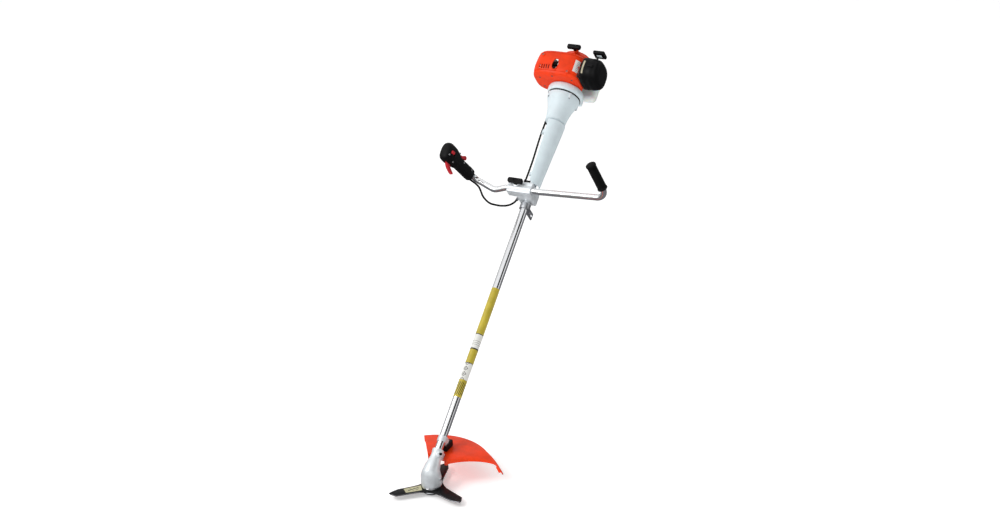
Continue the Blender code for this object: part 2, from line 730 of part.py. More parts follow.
def make_engine_ring(mats, tube):
    """The black rubber ring between the bell and the engine."""
    add("rubber_ring", ring(53.5, 61.5, 1507.3, 1512, "Y", 20), mats["black_rubber"], tube)


def make_fan_housing(mats, tube):
    """The light alloy volute round the flywheel; its back wall carries the crankcase."""
    profile = [(1512.3, 57), (1512.3, 62), (1518, 66), (1536, 66), (1541, 61), (1541, 12), (1537.5, 12), (1537.5, 57)]
    add("fan_housing", turned(profile, "Y", 20), mats["light_plastic"], tube)


def make_clutch_drum(mats, tube):
    """Its neck takes the drive shaft's end and its cup surrounds the shoes."""
    hub = DRUM_HUB
    profile = [(hub, 4.3), (hub, 11), (hub + 9, 11), (hub + 9, 38), (hub + 34, 38), (hub + 34, 35), (hub + 12, 35),
               (hub + 12, 4.3)]
    add("clutch_drum", turned(profile, "Y"), mats["steel"], tube)


def make_clutch_shoes(mats, tube):
    for i, side in enumerate((1, -1)):
        shoe = ring(14.5, 33.4, 1484, 1496, "Y")
        half = block((-50, 1470, -50), (50, 1510, 1.5)) if side > 0 else block((-50, 1470, -1.5), (50, 1510, 50))
        add(f"clutch_shoe_{i + 1}", carve(shoe, cutters=[half]), mats["cast_alloy"], tube)


def make_flywheel(mats, tube):
    """A boss, a web and a ring of fan blades joined by a rim."""
    disc = turned([(1481, 6.3), (1481, 11.7), (1518, 14), (1522, 51), (1526, 53), (1528, 53), (1528, 6.3)], "Y")
    blades = []
    for i in range(8):
        blade = block((32, 1514, -1.2), (52, 1524, 1.2))
        blades.append(moved(blade, turn=Matrix.Rotation(2 * math.pi * i / 8, 3, "Y")))
    add("flywheel", carve(disc, unions=blades), mats["cast_alloy"], tube)


def make_crankcase(mats, tube):
    """Two castings that meet on the cylinder's centre plane and leave room for the crank's webs."""
    middle = CRANK_Y / MM
    for name, low, high in (("crankcase_front", 1530, middle - 0.15), ("crankcase_rear", middle + 0.15, 1650)):
        barrel = rod(36, 1541.3, 1638, "Y", ROUND)
        deck = block((-27, middle - 27, 0), (27, middle + 27, 40))
        cuts = [
            rod(29, middle - 19, middle + 19, "Y", ROUND),
            rod(6.3, 1500, 1700, "Y", ROUND),
            rod(BORE_RADIUS / MM + 0.4, 0, 60, steps=ROUND, place=(0, middle, 0)),
            block((-60, 1500, -60), (60, low, 60)),
            block((-60, high, -60), (60, 1700, 60)),
        ]
        add(name, carve(barrel, unions=[deck], cutters=cuts), mats["cast_alloy"], tube)


def make_crankshaft(mats, tube):
    """Two webs on stub shafts, apart by the connecting rod's width."""
    middle = CRANK_Y / MM
    front = [(1482, 0), (1482, 6), (middle - 17, 6), (middle - 17, 27), (middle - 7, 27), (middle - 7, 0)]
    rear = [(middle + 7, 0), (middle + 7, 27), (middle + 17, 27), (middle + 17, 6), (1670, 6), (1670, 0)]
    add("crankshaft_front", turned(front, "Y"), mats["steel"], tube)
    add("crankshaft_rear", turned(rear, "Y"), mats["steel"], tube)


def make_connecting_rod(mats, tube):
    """It holds the crank pin in its lower eye."""
    middle = CRANK_Y / MM
    throw, pin = CRANK_THROW / MM, PISTON_PIN / MM
    beam = block((-4, middle - 3, throw), (4, middle + 3, pin - 5))
    lower = rod(9, middle - 6.5, middle + 6.5, "Y", ROUND, (0, 0, throw))
    upper = rod(6.5, middle - 4, middle + 4, "Y", ROUND, (0, 0, pin))
    eye = rod(4.3, middle - 10, middle + 10, "Y", SMALL_ROUND, (0, 0, pin))
    add("connecting_rod", carve(beam, unions=[lower, upper], cutters=[eye]), mats["steel"], tube)


def make_piston(mats, tube):
    middle, pin = CRANK_Y / MM, PISTON_PIN / MM
    low, high = pin - 11, pin + 11
    skirt = turned([(high - 4, 0), (high - 4, 15), (low, 15), (low, 17.7), (high, 17.7), (high, 0)], steps=ROUND)
    wrist_pin = rod(4, -16, 16, "Y", SMALL_ROUND, (0, 0, pin))
    frame = make_frame("cylinder_axis", tube, (0, CRANK_Y, 0))
    add("piston", carve(skirt, unions=[wrist_pin]), mats["cast_alloy"], frame)


def make_cylinder(mats, tube):
    """A finned barrel with a blind bore; the spark plug's boss leans to the operator's right."""
    fins = [(46.5, 27), (46.5, 22)]
    for i in range(4):
        low = 52 + 7 * i
        fins += [(low, 22), (low + 0.4, 36), (low + 2.6, 36), (low + 3, 22)]
    profile = [(81.5, 0), (81.5, 18), (40.3, 18), (40.3, 27), *fins, (85, 22), (85.5, 14), (85.5, 0)]
    way = Vector(PLUG_AXIS)
    boss = moved(rod(8, -12, 8), Vector(PLUG_SEAT) * MM, towards(way))
    hole = moved(rod(5.3, -10, 20), Vector(PLUG_SEAT) * MM, towards(way))
    frame = make_frame("cylinder_seat", tube, (0, CRANK_Y, 0))
    add("cylinder", carve(turned(profile, steps=ROUND), unions=[boss], cutters=[hole]), mats["cast_alloy"], frame)


def make_spark_plug(mats, tube):
    profile = [(-9, 0), (-9, 5), (8.4, 5), (8.4, 8), (15, 8), (15, 5), (30, 4), (30, 2.5), (36, 2.5), (36, 0)]
    plug = moved(turned(profile, steps=SMALL_ROUND), Vector(PLUG_SEAT) * MM, towards(PLUG_AXIS))
    add("spark_plug", plug, mats["steel"], make_frame("plug_seat", tube, (0, CRANK_Y, 0)))


def make_spark_plug_boot(mats, tube):
    profile = [(37, 0), (37, 3), (30.4, 3), (30.4, 5.4), (17, 5.4), (17, 8), (30, 9), (44, 9), (46, 7), (46, 0)]
    boot = moved(turned(profile, steps=SMALL_ROUND), Vector(PLUG_SEAT) * MM, towards(PLUG_AXIS))
    add("spark_plug_boot", boot, mats["black_rubber"], make_frame("boot_seat", tube, (0, CRANK_Y, 0)))


def make_muffler(mats, tube):
    """A pressed steel box with an exhaust port towards the cylinder and an outlet on its far side."""
    body = block((-104, 1556, 2), (-44, 1630, 68), 9, 2)
    chamber = block((-102, 1558, 4), (-46, 1628, 66), 8)
    port = rod(8, -60, -36.6, "X", SMALL_ROUND, (0, CRANK_Y / MM, 36))
    passage = rod(6, -60, -30, "X", SMALL_ROUND, (0, CRANK_Y / MM, 36))
    outlet = rod(6, -110, -90, "X", SMALL_ROUND, (0, 1610, 20))
    add("muffler", carve(body, unions=[port], cutters=[chamber, passage, outlet]), mats["steel"], tube)


# Fuel, air and covers --------------------------------------------------------------------------------


def make_carburetor(mats, tube):
    body = block((46, 1574, 38), (69, 1608, 72), 2)
    spigot = rod(9, 36.6, 50, "X", SMALL_ROUND, (0, CRANK_Y / MM, 56))
    bore = rod(6, 30, 80, "X", SMALL_ROUND, (0, CRANK_Y / MM, 56))
    shaft_hole = rod(2.3, 1560, 1584.5, "Y", SMALL_ROUND, (57, 0, 46))
    add("carburetor", carve(body, unions=[spigot], cutters=[bore, shaft_hole]), mats["cast_alloy"], tube)


def make_throttle_lever(mats, tube):
    """Its origin is on the throttle shaft's axis, and its arm takes the cable."""
    shaft = rod(2, -6, 10, "Y")
    arm = prism([(-4, -4), (4, -4), (3, 13), (-3, 13)], 1, 3)
    arm = moved(arm, turn=Matrix.Rotation(math.radians(90), 3, "X"))
    frame = make_frame("throttle_shaft", tube, Vector((57, 1574, 46)) * MM)
    add("throttle_lever", carve(shaft, unions=[moved(arm, (0, -0.5 * MM, 0))]), mats["steel"], frame)


def cover_loops(grow, start, end):
    """Rounded loops square to x for the air filter's cover."""
    loops = []
    for i in range(6):
        share = i / 5
        x = start + (end - start) * math.sin(share * math.pi / 2)
        shrink = math.sqrt(max(0.0, 1 - (share * 0.93) ** 3.2))
        loop = oval(40, 1597, (60 + grow) * shrink, (50 + grow) * shrink, 0, 2.7, 20)
        loops.append([Vector((x * MM, p.z, p.x)) for p in loop])
    return loft(loops)


def make_air_filter_cover(mats, tube):
    stalk_hole = rod(4.3, 1615, 1660, "Y", place=(CHOKE_PIVOT[0], 0, CHOKE_PIVOT[2]))
    shape = carve(cover_loops(0, 71, 139), cutters=[cover_loops(-3, 70, 136), stalk_hole])
    add("air_filter_cover", shape, mats["black_plastic"], tube)


def make_air_filter_element(mats, tube):
    body = block((76, 1566, 12), (98, 1628, 84), 8, 2)
    throat = rod(9, 60, 88, "X", SMALL_ROUND, (0, CRANK_Y / MM, 56))
    add("air_filter_element", carve(body, cutters=[throat]), mats["filter_felt"], tube)


def make_choke_lever(mats, tube):
    """Its origin is on its pivot."""
    hub = rod(9, -8, 6, "Y", 16)
    flag = block((-13, -9, -9), (31, 4, 31), 5, 2)
    stalk = rod(3.5, -42, -6, "Y")
    frame = make_frame("choke_axis", tube, Vector(CHOKE_PIVOT) * MM)
    add("choke_lever", carve(hub, unions=[flag, stalk]), mats["black_plastic"], frame)


def make_fuel_tank(mats, tube):
    """A rounded box with a filler neck at the back; the wall is 2.5 mm."""
    body = block((-84, 1546, -94), (88, 1638, -51), 17, 2)
    neck = rod(15, 1626, 1654, "Y", ROUND, (-48, 0, -74))
    hollow = block((-81, 1549, -91), (85, 1635, -54), 14)
    bore = rod(12, 1620, 1660, "Y", ROUND, (-48, 0, -74))
    add("fuel_tank", carve(body, unions=[neck], cutters=[hollow, bore]), mats["tank_plastic"], tube)


def make_fuel_cap(mats, tube):
    """Its origin is on its thread's axis."""
    cap = turned([(-9, 0), (-9, 11.5), (0.3, 11.5), (0.3, 18), (9, 17), (9, 0)], "Y", 20)
    bar = block((-14, 6, -3), (14, 14, 3), 1)
    frame = make_frame("fuel_cap_axis", tube, Vector((-48, 1654, -74)) * MM)
    add("fuel_cap", carve(cap, unions=[bar]), mats["black_plastic"], frame)


def make_machine_support(mats, tube):
    """A black plastic foot under the tank that the machine rests on when it is set down."""
    foot = block((-52, 1566, -112), (52, 1632, -94.4), 4)
    arch = block((-36, 1550, -120), (36, 1650, -104))
    add("machine_support", carve(foot, cutters=[arch]), mats["black_plastic"], tube)


def shroud_loops(grow, stations):
    loops = []
    for y, half_x, half_z, middle_x, middle_z in stations:
        loops.append(oval(middle_x, middle_z, half_x + grow, half_z + grow, y, 3.4, 24))
    return loft(loops)


SHROUD_STATIONS = [  # place along the tube, half width, half height, middle in x and z
    (1542, 82, 58, -24, 40),
    (1548, 90, 66, -24, 42),
    (1580, 93, 70, -25, 43),
    (1624, 91, 69, -24, 43),
    (1640, 84, 64, -22, 42),
]


def make_engine_shroud(mats, tube):
    """The orange cover over the cylinder and muffler, open below, behind and on the filter's side."""
    inner = [(1545.5, *SHROUD_STATIONS[0][1:]), *SHROUD_STATIONS[1:-1], (1660, *SHROUD_STATIONS[-1][1:])]
    longer = Matrix.Diagonal((1, 1.85, 1)).to_3x3()
    hole = moved(rod(12, 60, 140, steps=ROUND), turn=longer)
    cuts = [
        shroud_loops(-3, inner),
        block((-150, 1500, -60), (150, 1700, -18)),
        block((-45, 1500, -60), (90, 1700, -5)),
        block((38, 1556, -60), (90, 1634, 86)),
        rod(42, 1500, 1560, "Y", ROUND),
        block((-29, 1500, -60), (29, 1560, 44)),
        moved(hole, (-23 * MM, 1582 * MM, 0)),
    ]
    for i in range(4):
        cuts.append(block((-130, 1564 + 15 * i, 8), (-100, 1571 + 15 * i, 62)))
    add("engine_shroud", carve(shroud_loops(0, SHROUD_STATIONS), cutters=cuts), mats["orange_plastic"], tube)


# Starter ---------------------------------------------------------------------------------------------


def make_starter_cover(mats, tube):
    """A domed orange cover with cooling slots and the rope's outlet at its top."""
    inside = [(1690, 0), (1690, 21), (1681, 43), (1661, 59), (1641, 62)]
    outside = [(1641, 66), (1664, 62), (1684, 46), (1694, 22), (1694, 0)]
    guide = rod(8.5, 48, 81, place=ROPE_OUTLET, steps=12)
    cuts = [rod(4.3, 20, 90, place=ROPE_OUTLET)]
    for i in range(6):
        slot = block((26, 1660, -2.5), (50, 1700, 2.5))
        cuts.append(moved(slot, turn=Matrix.Rotation(2 * math.pi * i / 6 + 0.4, 3, "Y")))
    shape = carve(turned([*inside, *outside], "Y", 18), unions=[guide], cutters=cuts)
    add("starter_cover", shape, mats["orange_plastic"], tube)


def make_rope_rotor(mats, tube):
    profile = [(1655, 6.3), (1655, 30), (1657, 30), (1657, ROTOR_RADIUS), (1662, ROTOR_RADIUS), (1662, 30),
               (1664, 30), (1664, 6.3)]
    add("rope_rotor", turned(profile, "Y"), mats["black_plastic"], tube)


def make_starter_grip(mats, tube):
    """A T-shaped grip whose stub holds the rope's end."""
    bar = block((-26, -9, 10), (26, 9, 27), 6, 2)
    stub = turned([(0, 3), (0, 7), (12, 9), (12, 3)], steps=SMALL_ROUND)
    frame = make_frame("starter_pull", tube, Vector((ROPE_OUTLET[0], ROPE_OUTLET[1], GRIP_REST)) * MM)
    add("starter_grip", carve(bar, unions=[stub]), mats["black_plastic"], frame)


def main():
    clear_scene()
    mats = make_materials()
    tube = make_frame("tube_frame", place=(0, 0, AXES_CROSS_HEIGHT), turn=Matrix.Rotation(TUBE_ANGLE, 3, "X"))
    bar = make_frame("bar_axis", tube, (0, BAR_Y, BAR_Z))
    handle_turn = Matrix.Rotation(math.atan2(HANDLE_AXIS.x, HANDLE_AXIS.z), 3, "Y")
    handle = make_frame("handle_frame", bar, (HANDLE_FOOT - Vector((0, BAR_Y, BAR_Z)) / MM) * MM, handle_turn)
    in_world = (
        make_output_shaft, make_bevel_gear, make_spindle_bearing, make_thrust_plate, make_brush_knife,
        make_rider_plate, make_spindle_nut, make_gearbox_housing, make_blade_guard, make_guard_bracket,
    )
    for make in in_world:
        make(mats)
    on_tube = (
        make_gearbox_clamp_screw, make_drive_tube, make_drive_shaft, make_shaft_liner, make_bevel_pinion,
        make_pinion_bearing, make_tube_label, make_handle_support_lower, make_handle_support_upper,
        make_handle_clamp_cap, make_wing_screw, make_hip_pad, make_carrying_clamp, make_clutch_housing,
        make_engine_ring, make_fan_housing, make_clutch_drum, make_clutch_shoes, make_flywheel, make_crankcase,
        make_crankshaft, make_connecting_rod, make_piston, make_cylinder, make_spark_plug, make_spark_plug_boot,
        make_muffler, make_carburetor, make_throttle_lever, make_air_filter_element, make_air_filter_cover,
        make_choke_lever, make_fuel_tank, make_fuel_cap, make_machine_support, make_engine_shroud,
        make_starter_cover, make_rope_rotor, make_starter_grip,
    )
    for make in on_tube:
        make(mats, tube)
    make_handlebar(mats, bar)
    make_left_grip(mats, bar)
    make_throttle_housing(mats, handle, "throttle_housing_inner", 1)
    make_throttle_housing(mats, handle, "throttle_housing_outer", -1)
    make_throttle_trigger(mats, handle)
    make_trigger_lockout(mats, handle)
    make_stop_switch(mats, handle)
    make_throttle_cable(mats, tube, handle_turn)


main()
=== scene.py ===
"""The looks of a petrol brush cutter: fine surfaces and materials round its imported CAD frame.

Everything is drawn in millimetres in one of three frames and then set into the row frame in metres. ROW is
the row frame, with its origin at the spindle's lower end. TUBE has its origin where the spindle's and the
tube's axes cross: x is the operator's left, y runs up the tube and z is square to it, away from the ground.
HANDLE stands at the foot of the throttle handle, with z up the handle and y as the tube's.
"""

import json
import math

import bmesh
import bpy
from mathutils import Matrix, Vector


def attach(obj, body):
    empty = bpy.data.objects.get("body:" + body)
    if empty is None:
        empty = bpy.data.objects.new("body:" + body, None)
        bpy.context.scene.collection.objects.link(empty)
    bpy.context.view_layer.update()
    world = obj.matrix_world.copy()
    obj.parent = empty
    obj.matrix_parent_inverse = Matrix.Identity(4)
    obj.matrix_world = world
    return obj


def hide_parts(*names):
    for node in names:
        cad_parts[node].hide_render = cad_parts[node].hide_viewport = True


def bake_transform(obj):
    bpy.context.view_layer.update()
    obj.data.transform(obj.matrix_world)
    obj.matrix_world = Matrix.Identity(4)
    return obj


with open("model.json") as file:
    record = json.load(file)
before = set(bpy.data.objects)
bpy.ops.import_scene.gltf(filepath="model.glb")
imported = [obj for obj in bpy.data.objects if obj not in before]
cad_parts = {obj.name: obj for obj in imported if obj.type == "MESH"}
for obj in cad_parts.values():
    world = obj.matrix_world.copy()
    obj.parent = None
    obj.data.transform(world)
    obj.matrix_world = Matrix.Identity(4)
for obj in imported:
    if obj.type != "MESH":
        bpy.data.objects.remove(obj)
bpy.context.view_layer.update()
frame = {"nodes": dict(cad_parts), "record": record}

MM = 0.001
ROUND = 64  # facets round a large turned piece
SMALL_ROUND = 28  # facets round a screw, a rod or a cable

# Driving dimensions, the same as the frame's, in mm
TUBE_ANGLE = math.radians(35)
AXES_CROSS_HEIGHT = 78
TUBE_RADIUS = 14
TUBE_START, TUBE_END = 40, 1454
LABEL_START, LABEL_END = 283, 711
BLADE_RADIUS = 150
BLADE_LOW, BLADE_HIGH = 18, 22
BLADE_TURN = math.radians(219)
GUARD_RADIUS = 205
GUARD_CROWN = 228  # how far from the spindle the guard's top has fallen by 10 mm
BAR_RADIUS = 11
BAR_Y, BAR_Z = 1086, 55
LEFT_BEND = Vector((322, 1099, 54))
LEFT_GRIP_END = Vector((278, 1154, 176))
HANDLE_FOOT = Vector((-197, 1101, 62))
HANDLE_AXIS = Vector((-0.246, 0, 0.969)).normalized()
KNOB_AXIS = (-30, 1104, 0)
SCREW_LEAN = Matrix.Rotation(math.radians(52), 4, "Y")
CABLE_RADIUS = 3.5
CABLE_CHANNEL = -18.5
CLAMP_GUIDE = Vector((-36, 1074, 6))  # where the cable passes into its guide at the handle's support
TRIGGER_PIN = (-16, 167)
LOCKOUT_PIN = (17, 124)
CRANK_Y = 1590
PLUG_SEAT = (-4, 0, 94)
PLUG_AXIS = (-0.995, 0, 0.1)
CHOKE_PIVOT = (108, 1664, 64)
ROPE_OUTLET = (20, 1668, 0)
GRIP_REST = 82  # where the starter grip sits, from the tube's axis
TANK_NECK = (-48, 0, -74)
SHROUD_WINDOW = (-23, 1582, 0)
EXHAUST = (0, 1610, 20)
FILTER_Y, FILTER_Z = 1597, 40
PAD_START, PAD_LENGTH = 1132, 262
SLIDE = 0.3  # clearance round a bar or tube in its bore
LABEL_FIELD = (349, 413)  # the white part of the tube's label that carries lozenges

ROW = Matrix.Identity(4)
TUBE = Matrix.Translation((0, 0, AXES_CROSS_HEIGHT)) @ Matrix.Rotation(TUBE_ANGLE, 4, "X")
HANDLE_LEAN = Matrix.Rotation(math.atan2(HANDLE_AXIS.x, HANDLE_AXIS.z), 4, "Y")
HANDLE = TUBE @ Matrix.Translation(HANDLE_FOOT) @ HANDLE_LEAN
TUBE_WAY = (0.0, math.cos(TUBE_ANGLE), math.sin(TUBE_ANGLE))
TUBE_UP = (0.0, -math.sin(TUBE_ANGLE), math.cos(TUBE_ANGLE))


# Camera, light and floor -----------------------------------------------------------------------------


def make_camera():
    """A long lens from the front left of the machine, looking down, turned a little about its own axis."""
    azimuth, elevation, roll = math.radians(28.12), math.radians(27.29), math.radians(-4.99)
    target, distance = Vector((-0.0366, 0.7, 0.5277)), 8.405
    back = Vector(
        (math.sin(azimuth) * math.cos(elevation), -math.cos(azimuth) * math.cos(elevation), math.sin(elevation))
    )
    right = Vector((math.cos(azimuth), math.sin(azimuth), 0))
    up = back.cross(right)
    across = right * math.cos(roll) + up * math.sin(roll)
    upwards = up * math.cos(roll) - right * math.sin(roll)
    data = bpy.data.cameras.new("camera")
    data.lens = 85
    data.sensor_width = 36
    camera = bpy.data.objects.new("camera", data)
    bpy.context.scene.collection.objects.link(camera)
    turn = Matrix((across, upwards, back)).transposed()
    camera.matrix_world = Matrix.Translation(target + back * distance) @ turn.to_4x4()
    bpy.context.scene.camera = camera


def add_node(tree, kind, **settings):
    """A shader node with its properties set; a key in `inputs` names an input socket and gives its value."""
    node = tree.nodes.new(kind)
    values = settings.pop("inputs", {})
    for key, value in settings.items():
        setattr(node, key, value)
    for key, value in values.items():
        plug(tree, value, node.inputs[key])
    return node


def plug(tree, value, socket):
    """Links a socket, or sets a plain value."""
    if isinstance(value, bpy.types.NodeSocket):
        tree.links.new(value, socket)
    else:
        socket.default_value = value


def maths(tree, operation, *values, clamp=False):
    node = add_node(tree, "ShaderNodeMath", operation=operation, use_clamp=clamp)
    for i, value in enumerate(values):
        plug(tree, value, node.inputs[i])
    return node.outputs[0]


def dot(tree, vector, way):
    node = add_node(tree, "ShaderNodeVectorMath", operation="DOT_PRODUCT")
    plug(tree, vector, node.inputs[0])
    node.inputs[1].default_value = way
    return node.outputs["Value"]


def between(tree, value, low, high, soft):
    """1 where value lies between low and high, with soft edges, and 0 outside."""
    rise = spread(tree, value, low - soft, low + soft, 0.0, 1.0)
    fall = spread(tree, value, high - soft, high + soft, 0.0, 1.0)
    return maths(tree, "SUBTRACT", rise, fall, clamp=True)


def make_world():
    """A white studio; polished metal shows its dark horizon and the two long black flags beside the tube."""
    world = bpy.data.worlds.new("studio")
    bpy.context.scene.world = world
    world.use_nodes = True
    tree = world.node_tree
    way = add_node(tree, "ShaderNodeTexCoord").outputs["Generated"]
    round_tube = maths(tree, "ARCTAN2", dot(tree, way, TUBE_UP), dot(tree, way, (1, 0, 0)))
    flag = between(tree, round_tube, math.radians(16), math.radians(60), math.radians(3))
    thin_flag = between(tree, round_tube, math.radians(152), math.radians(163), math.radians(3))
    horizon = between(tree, dot(tree, way, (0, 0, 1)), -2.0, 0.1, 0.03)
    dark = maths(tree, "MAXIMUM", maths(tree, "MULTIPLY", flag, 0.97), maths(tree, "MULTIPLY", thin_flag, 0.6))
    dark = maths(tree, "MAXIMUM", dark, maths(tree, "MULTIPLY", horizon, 0.75))
    background = tree.nodes["Background"]
    tree.links.new(spread(tree, dark, 0.0, 1.0, 1.0, 0.0), background.inputs["Color"])
    background.inputs["Strength"].default_value = 0.9


def make_light(name, place, target, size, power):
    data = bpy.data.lights.new(name, "AREA")
    data.energy = power
    data.size = size
    light = bpy.data.objects.new(name, data)
    bpy.context.scene.collection.objects.link(light)
    light.location = place
    light.rotation_euler = (Vector(place) - Vector(target)).to_track_quat("Z", "Y").to_euler()


def make_floor():
    """A white floor with a faint glow, dark only where polished metal mirrors it."""
    bm = bmesh.new()
    bmesh.ops.create_circle(bm, cap_ends=True, segments=96, radius=40)
    mesh = bpy.data.meshes.new("floor")
    bm.to_mesh(mesh)
    bm.free()
    floor = bpy.data.objects.new("floor", mesh)
    bpy.context.scene.collection.objects.link(floor)
    material = bpy.data.materials.new("floor")
    material.use_nodes = True
    tree = material.node_tree
    shader = tree.nodes["Principled BSDF"]
    seen_in_metal = add_node(tree, "ShaderNodeLightPath").outputs["Is Glossy Ray"]
    shader.inputs["Emission Color"].default_value = (1, 1, 1, 1)
    tree.links.new(maths(tree, "MULTIPLY_ADD", seen_in_metal, -0.3, 0.3), shader.inputs["Emission Strength"])
    shown = mix_colours(tree, seen_in_metal, (0.93, 0.93, 0.93), (0.16, 0.16, 0.17))
    tree.links.new(shown, shader.inputs["Base Color"])
    shader.inputs["Roughness"].default_value = 0.9
    shader.inputs["Specular IOR Level"].default_value = 0.1
    mesh.materials.append(material)


def make_stage():
    make_camera()
    make_world()
    make_light("key", (-2.6, -2.2, 4.6), (0, 0.5, 0.3), 2.2, 110)
    make_light("fill", (3.6, -3.4, 2.6), (0, 0.8, 0.7), 2.5, 30)
    make_floor()
    bpy.context.scene.view_settings.view_transform = "Standard"


# Materials -------------------------------------------------------------------------------------------


def mix_colours(tree, share, one, two):
    node = add_node(tree, "ShaderNodeMix", data_type="RGBA")
    plug(tree, share, node.inputs["Factor"])
    plug(tree, one if isinstance(one, bpy.types.NodeSocket) else (*one, 1), node.inputs["A"])
    plug(tree, two if isinstance(two, bpy.types.NodeSocket) else (*two, 1), node.inputs["B"])
    return node.outputs["Result"]


def noise_at(tree, place, size_mm, detail=4.0, roughness=0.55):
    """Noise whose features are about size_mm wide."""
    values = {"Vector": place, "Scale": 1000 / size_mm, "Detail": detail, "Roughness": roughness}
    return add_node(tree, "ShaderNodeTexNoise", inputs=values).outputs["Fac"]


def spread(tree, value, low, high, out_low, out_high):
    """Carries value from the range low to high over to out_low to out_high."""
    values = {0: value, 1: low, 2: high, 3: out_low, 4: out_high}
    return add_node(tree, "ShaderNodeMapRange", inputs=values).outputs[0]


def stretched(tree, place, way, factor):
    """Coordinates squeezed along a direction, so that noise read from them runs in streaks along it."""
    along = dot(tree, place, way)
    shift = add_node(tree, "ShaderNodeVectorMath", operation="SCALE")
    shift.inputs[0].default_value = tuple(component * (factor - 1) for component in way)
    plug(tree, along, shift.inputs["Scale"])
    total = add_node(tree, "ShaderNodeVectorMath", operation="ADD")
    plug(tree, place, total.inputs[0])
    plug(tree, shift.outputs[0], total.inputs[1])
    return total.outputs[0]


def finish_material(
    name, colour, roughness, metallic=0.0, grain=1.2, grain_depth=0.05, variation=0.08, wear_and_edge_highlight=None, dirt_and_hollow_shade=None,
    streaks=None, pattern=None, sheen=0.0, subsurface=0.0, specular=0.5
):
    """A principled material: mottled colour, uneven gloss, a fine grain, and colours along edges and in
    hollows.

    grain is the size of the grain in mm and grain_depth its height in mm. wear_and_edge_highlight is the colour
    that shows along convex edges: rubbed metal and scuffs on the metals and black parts, a painted highlight on
    the orange, pale and red plastics. dirt_and_hollow_shade is the colour that gathers in hollows: grime and
    rust on the steels and the felt, a darker grey on the tank, painted shade on the cast alloy and the orange
    and pale plastics. streaks is a direction that the grain runs along, and pattern a function that turns the
    mottled colour into a printed one.
    """
    material = bpy.data.materials.new(name)
    material.use_nodes = True
    tree = material.node_tree
    shader = tree.nodes["Principled BSDF"]
    place = add_node(tree, "ShaderNodeTexCoord").outputs["Object"]
    if streaks:
        place = stretched(tree, place, streaks, 0.04)
    mottle = noise_at(tree, place, 34, 5.0)
    fine = noise_at(tree, place, grain, 3.0)
    darker = tuple(c * (1 - variation) for c in colour)
    lighter = tuple(min(1.0, c * (1 + variation)) for c in colour)
    shown = mix_colours(tree, spread(tree, mottle, 0.35, 0.65, 0.0, 1.0), darker, lighter)
    shown = mix_colours(tree, maths(tree, "MULTIPLY", fine, variation), shown, darker)
    if pattern:
        shown = pattern(tree, shown)
    pointed = add_node(tree, "ShaderNodeNewGeometry").outputs["Pointiness"]
    patchy = spread(tree, noise_at(tree, place, 7, 6.0, 0.7), 0.42, 0.62, 0.0, 1.0)
    # Along convex edges: rubbed metal and scuffs on some materials, a painted highlight on the orange, pale and
    # red plastics
    if wear_and_edge_highlight:
        edge = spread(tree, pointed, 0.53, 0.60, 0.0, 1.0)
        worn_and_highlit = maths(tree, "MULTIPLY", edge, maths(tree, "MULTIPLY", patchy, 0.75))
        shown = mix_colours(tree, worn_and_highlit, shown, wear_and_edge_highlight)
    # In hollows: grime and rust on some materials, painted shade on the cast alloy and the orange and pale
    # plastics
    if dirt_and_hollow_shade:
        hollow = spread(tree, pointed, 0.47, 0.41, 0.0, 0.7)
        shown = mix_colours(tree, hollow, shown, dirt_and_hollow_shade)
    tree.links.new(shown, shader.inputs["Base Color"])
    broad, narrow = spread(tree, mottle, 0.3, 0.7, -0.05, 0.06), spread(tree, fine, 0.3, 0.7, -0.04, 0.04)
    uneven = maths(tree, "ADD", broad, narrow)
    plug(tree, maths(tree, "ADD", uneven, roughness), shader.inputs["Roughness"])
    values = {"Strength": 0.6, "Distance": grain_depth * MM, "Height": fine}
    bump = add_node(tree, "ShaderNodeBump", inputs=values)
    tree.links.new(bump.outputs[0], shader.inputs["Normal"])
    shader.inputs["Metallic"].default_value = metallic
    shader.inputs["Specular IOR Level"].default_value = specular
    shader.inputs["Sheen Weight"].default_value = sheen
    shader.inputs["Subsurface Weight"].default_value = subsurface
    shader.inputs["Subsurface Scale"].default_value = 0.004
    return material


def tube_place(tree):
    """How far along the tube a point is, and how far across it to the operator's left, both in mm."""
    place = add_node(tree, "ShaderNodeTexCoord").outputs["Object"]
    start = AXES_CROSS_HEIGHT * MM * TUBE_WAY[2]
    along = maths(tree, "MULTIPLY", maths(tree, "SUBTRACT", dot(tree, place, TUBE_WAY), start), 1 / MM)
    across = maths(tree, "MULTIPLY", dot(tree, place, (1, 0, 0)), 1 / MM)
    return along, across


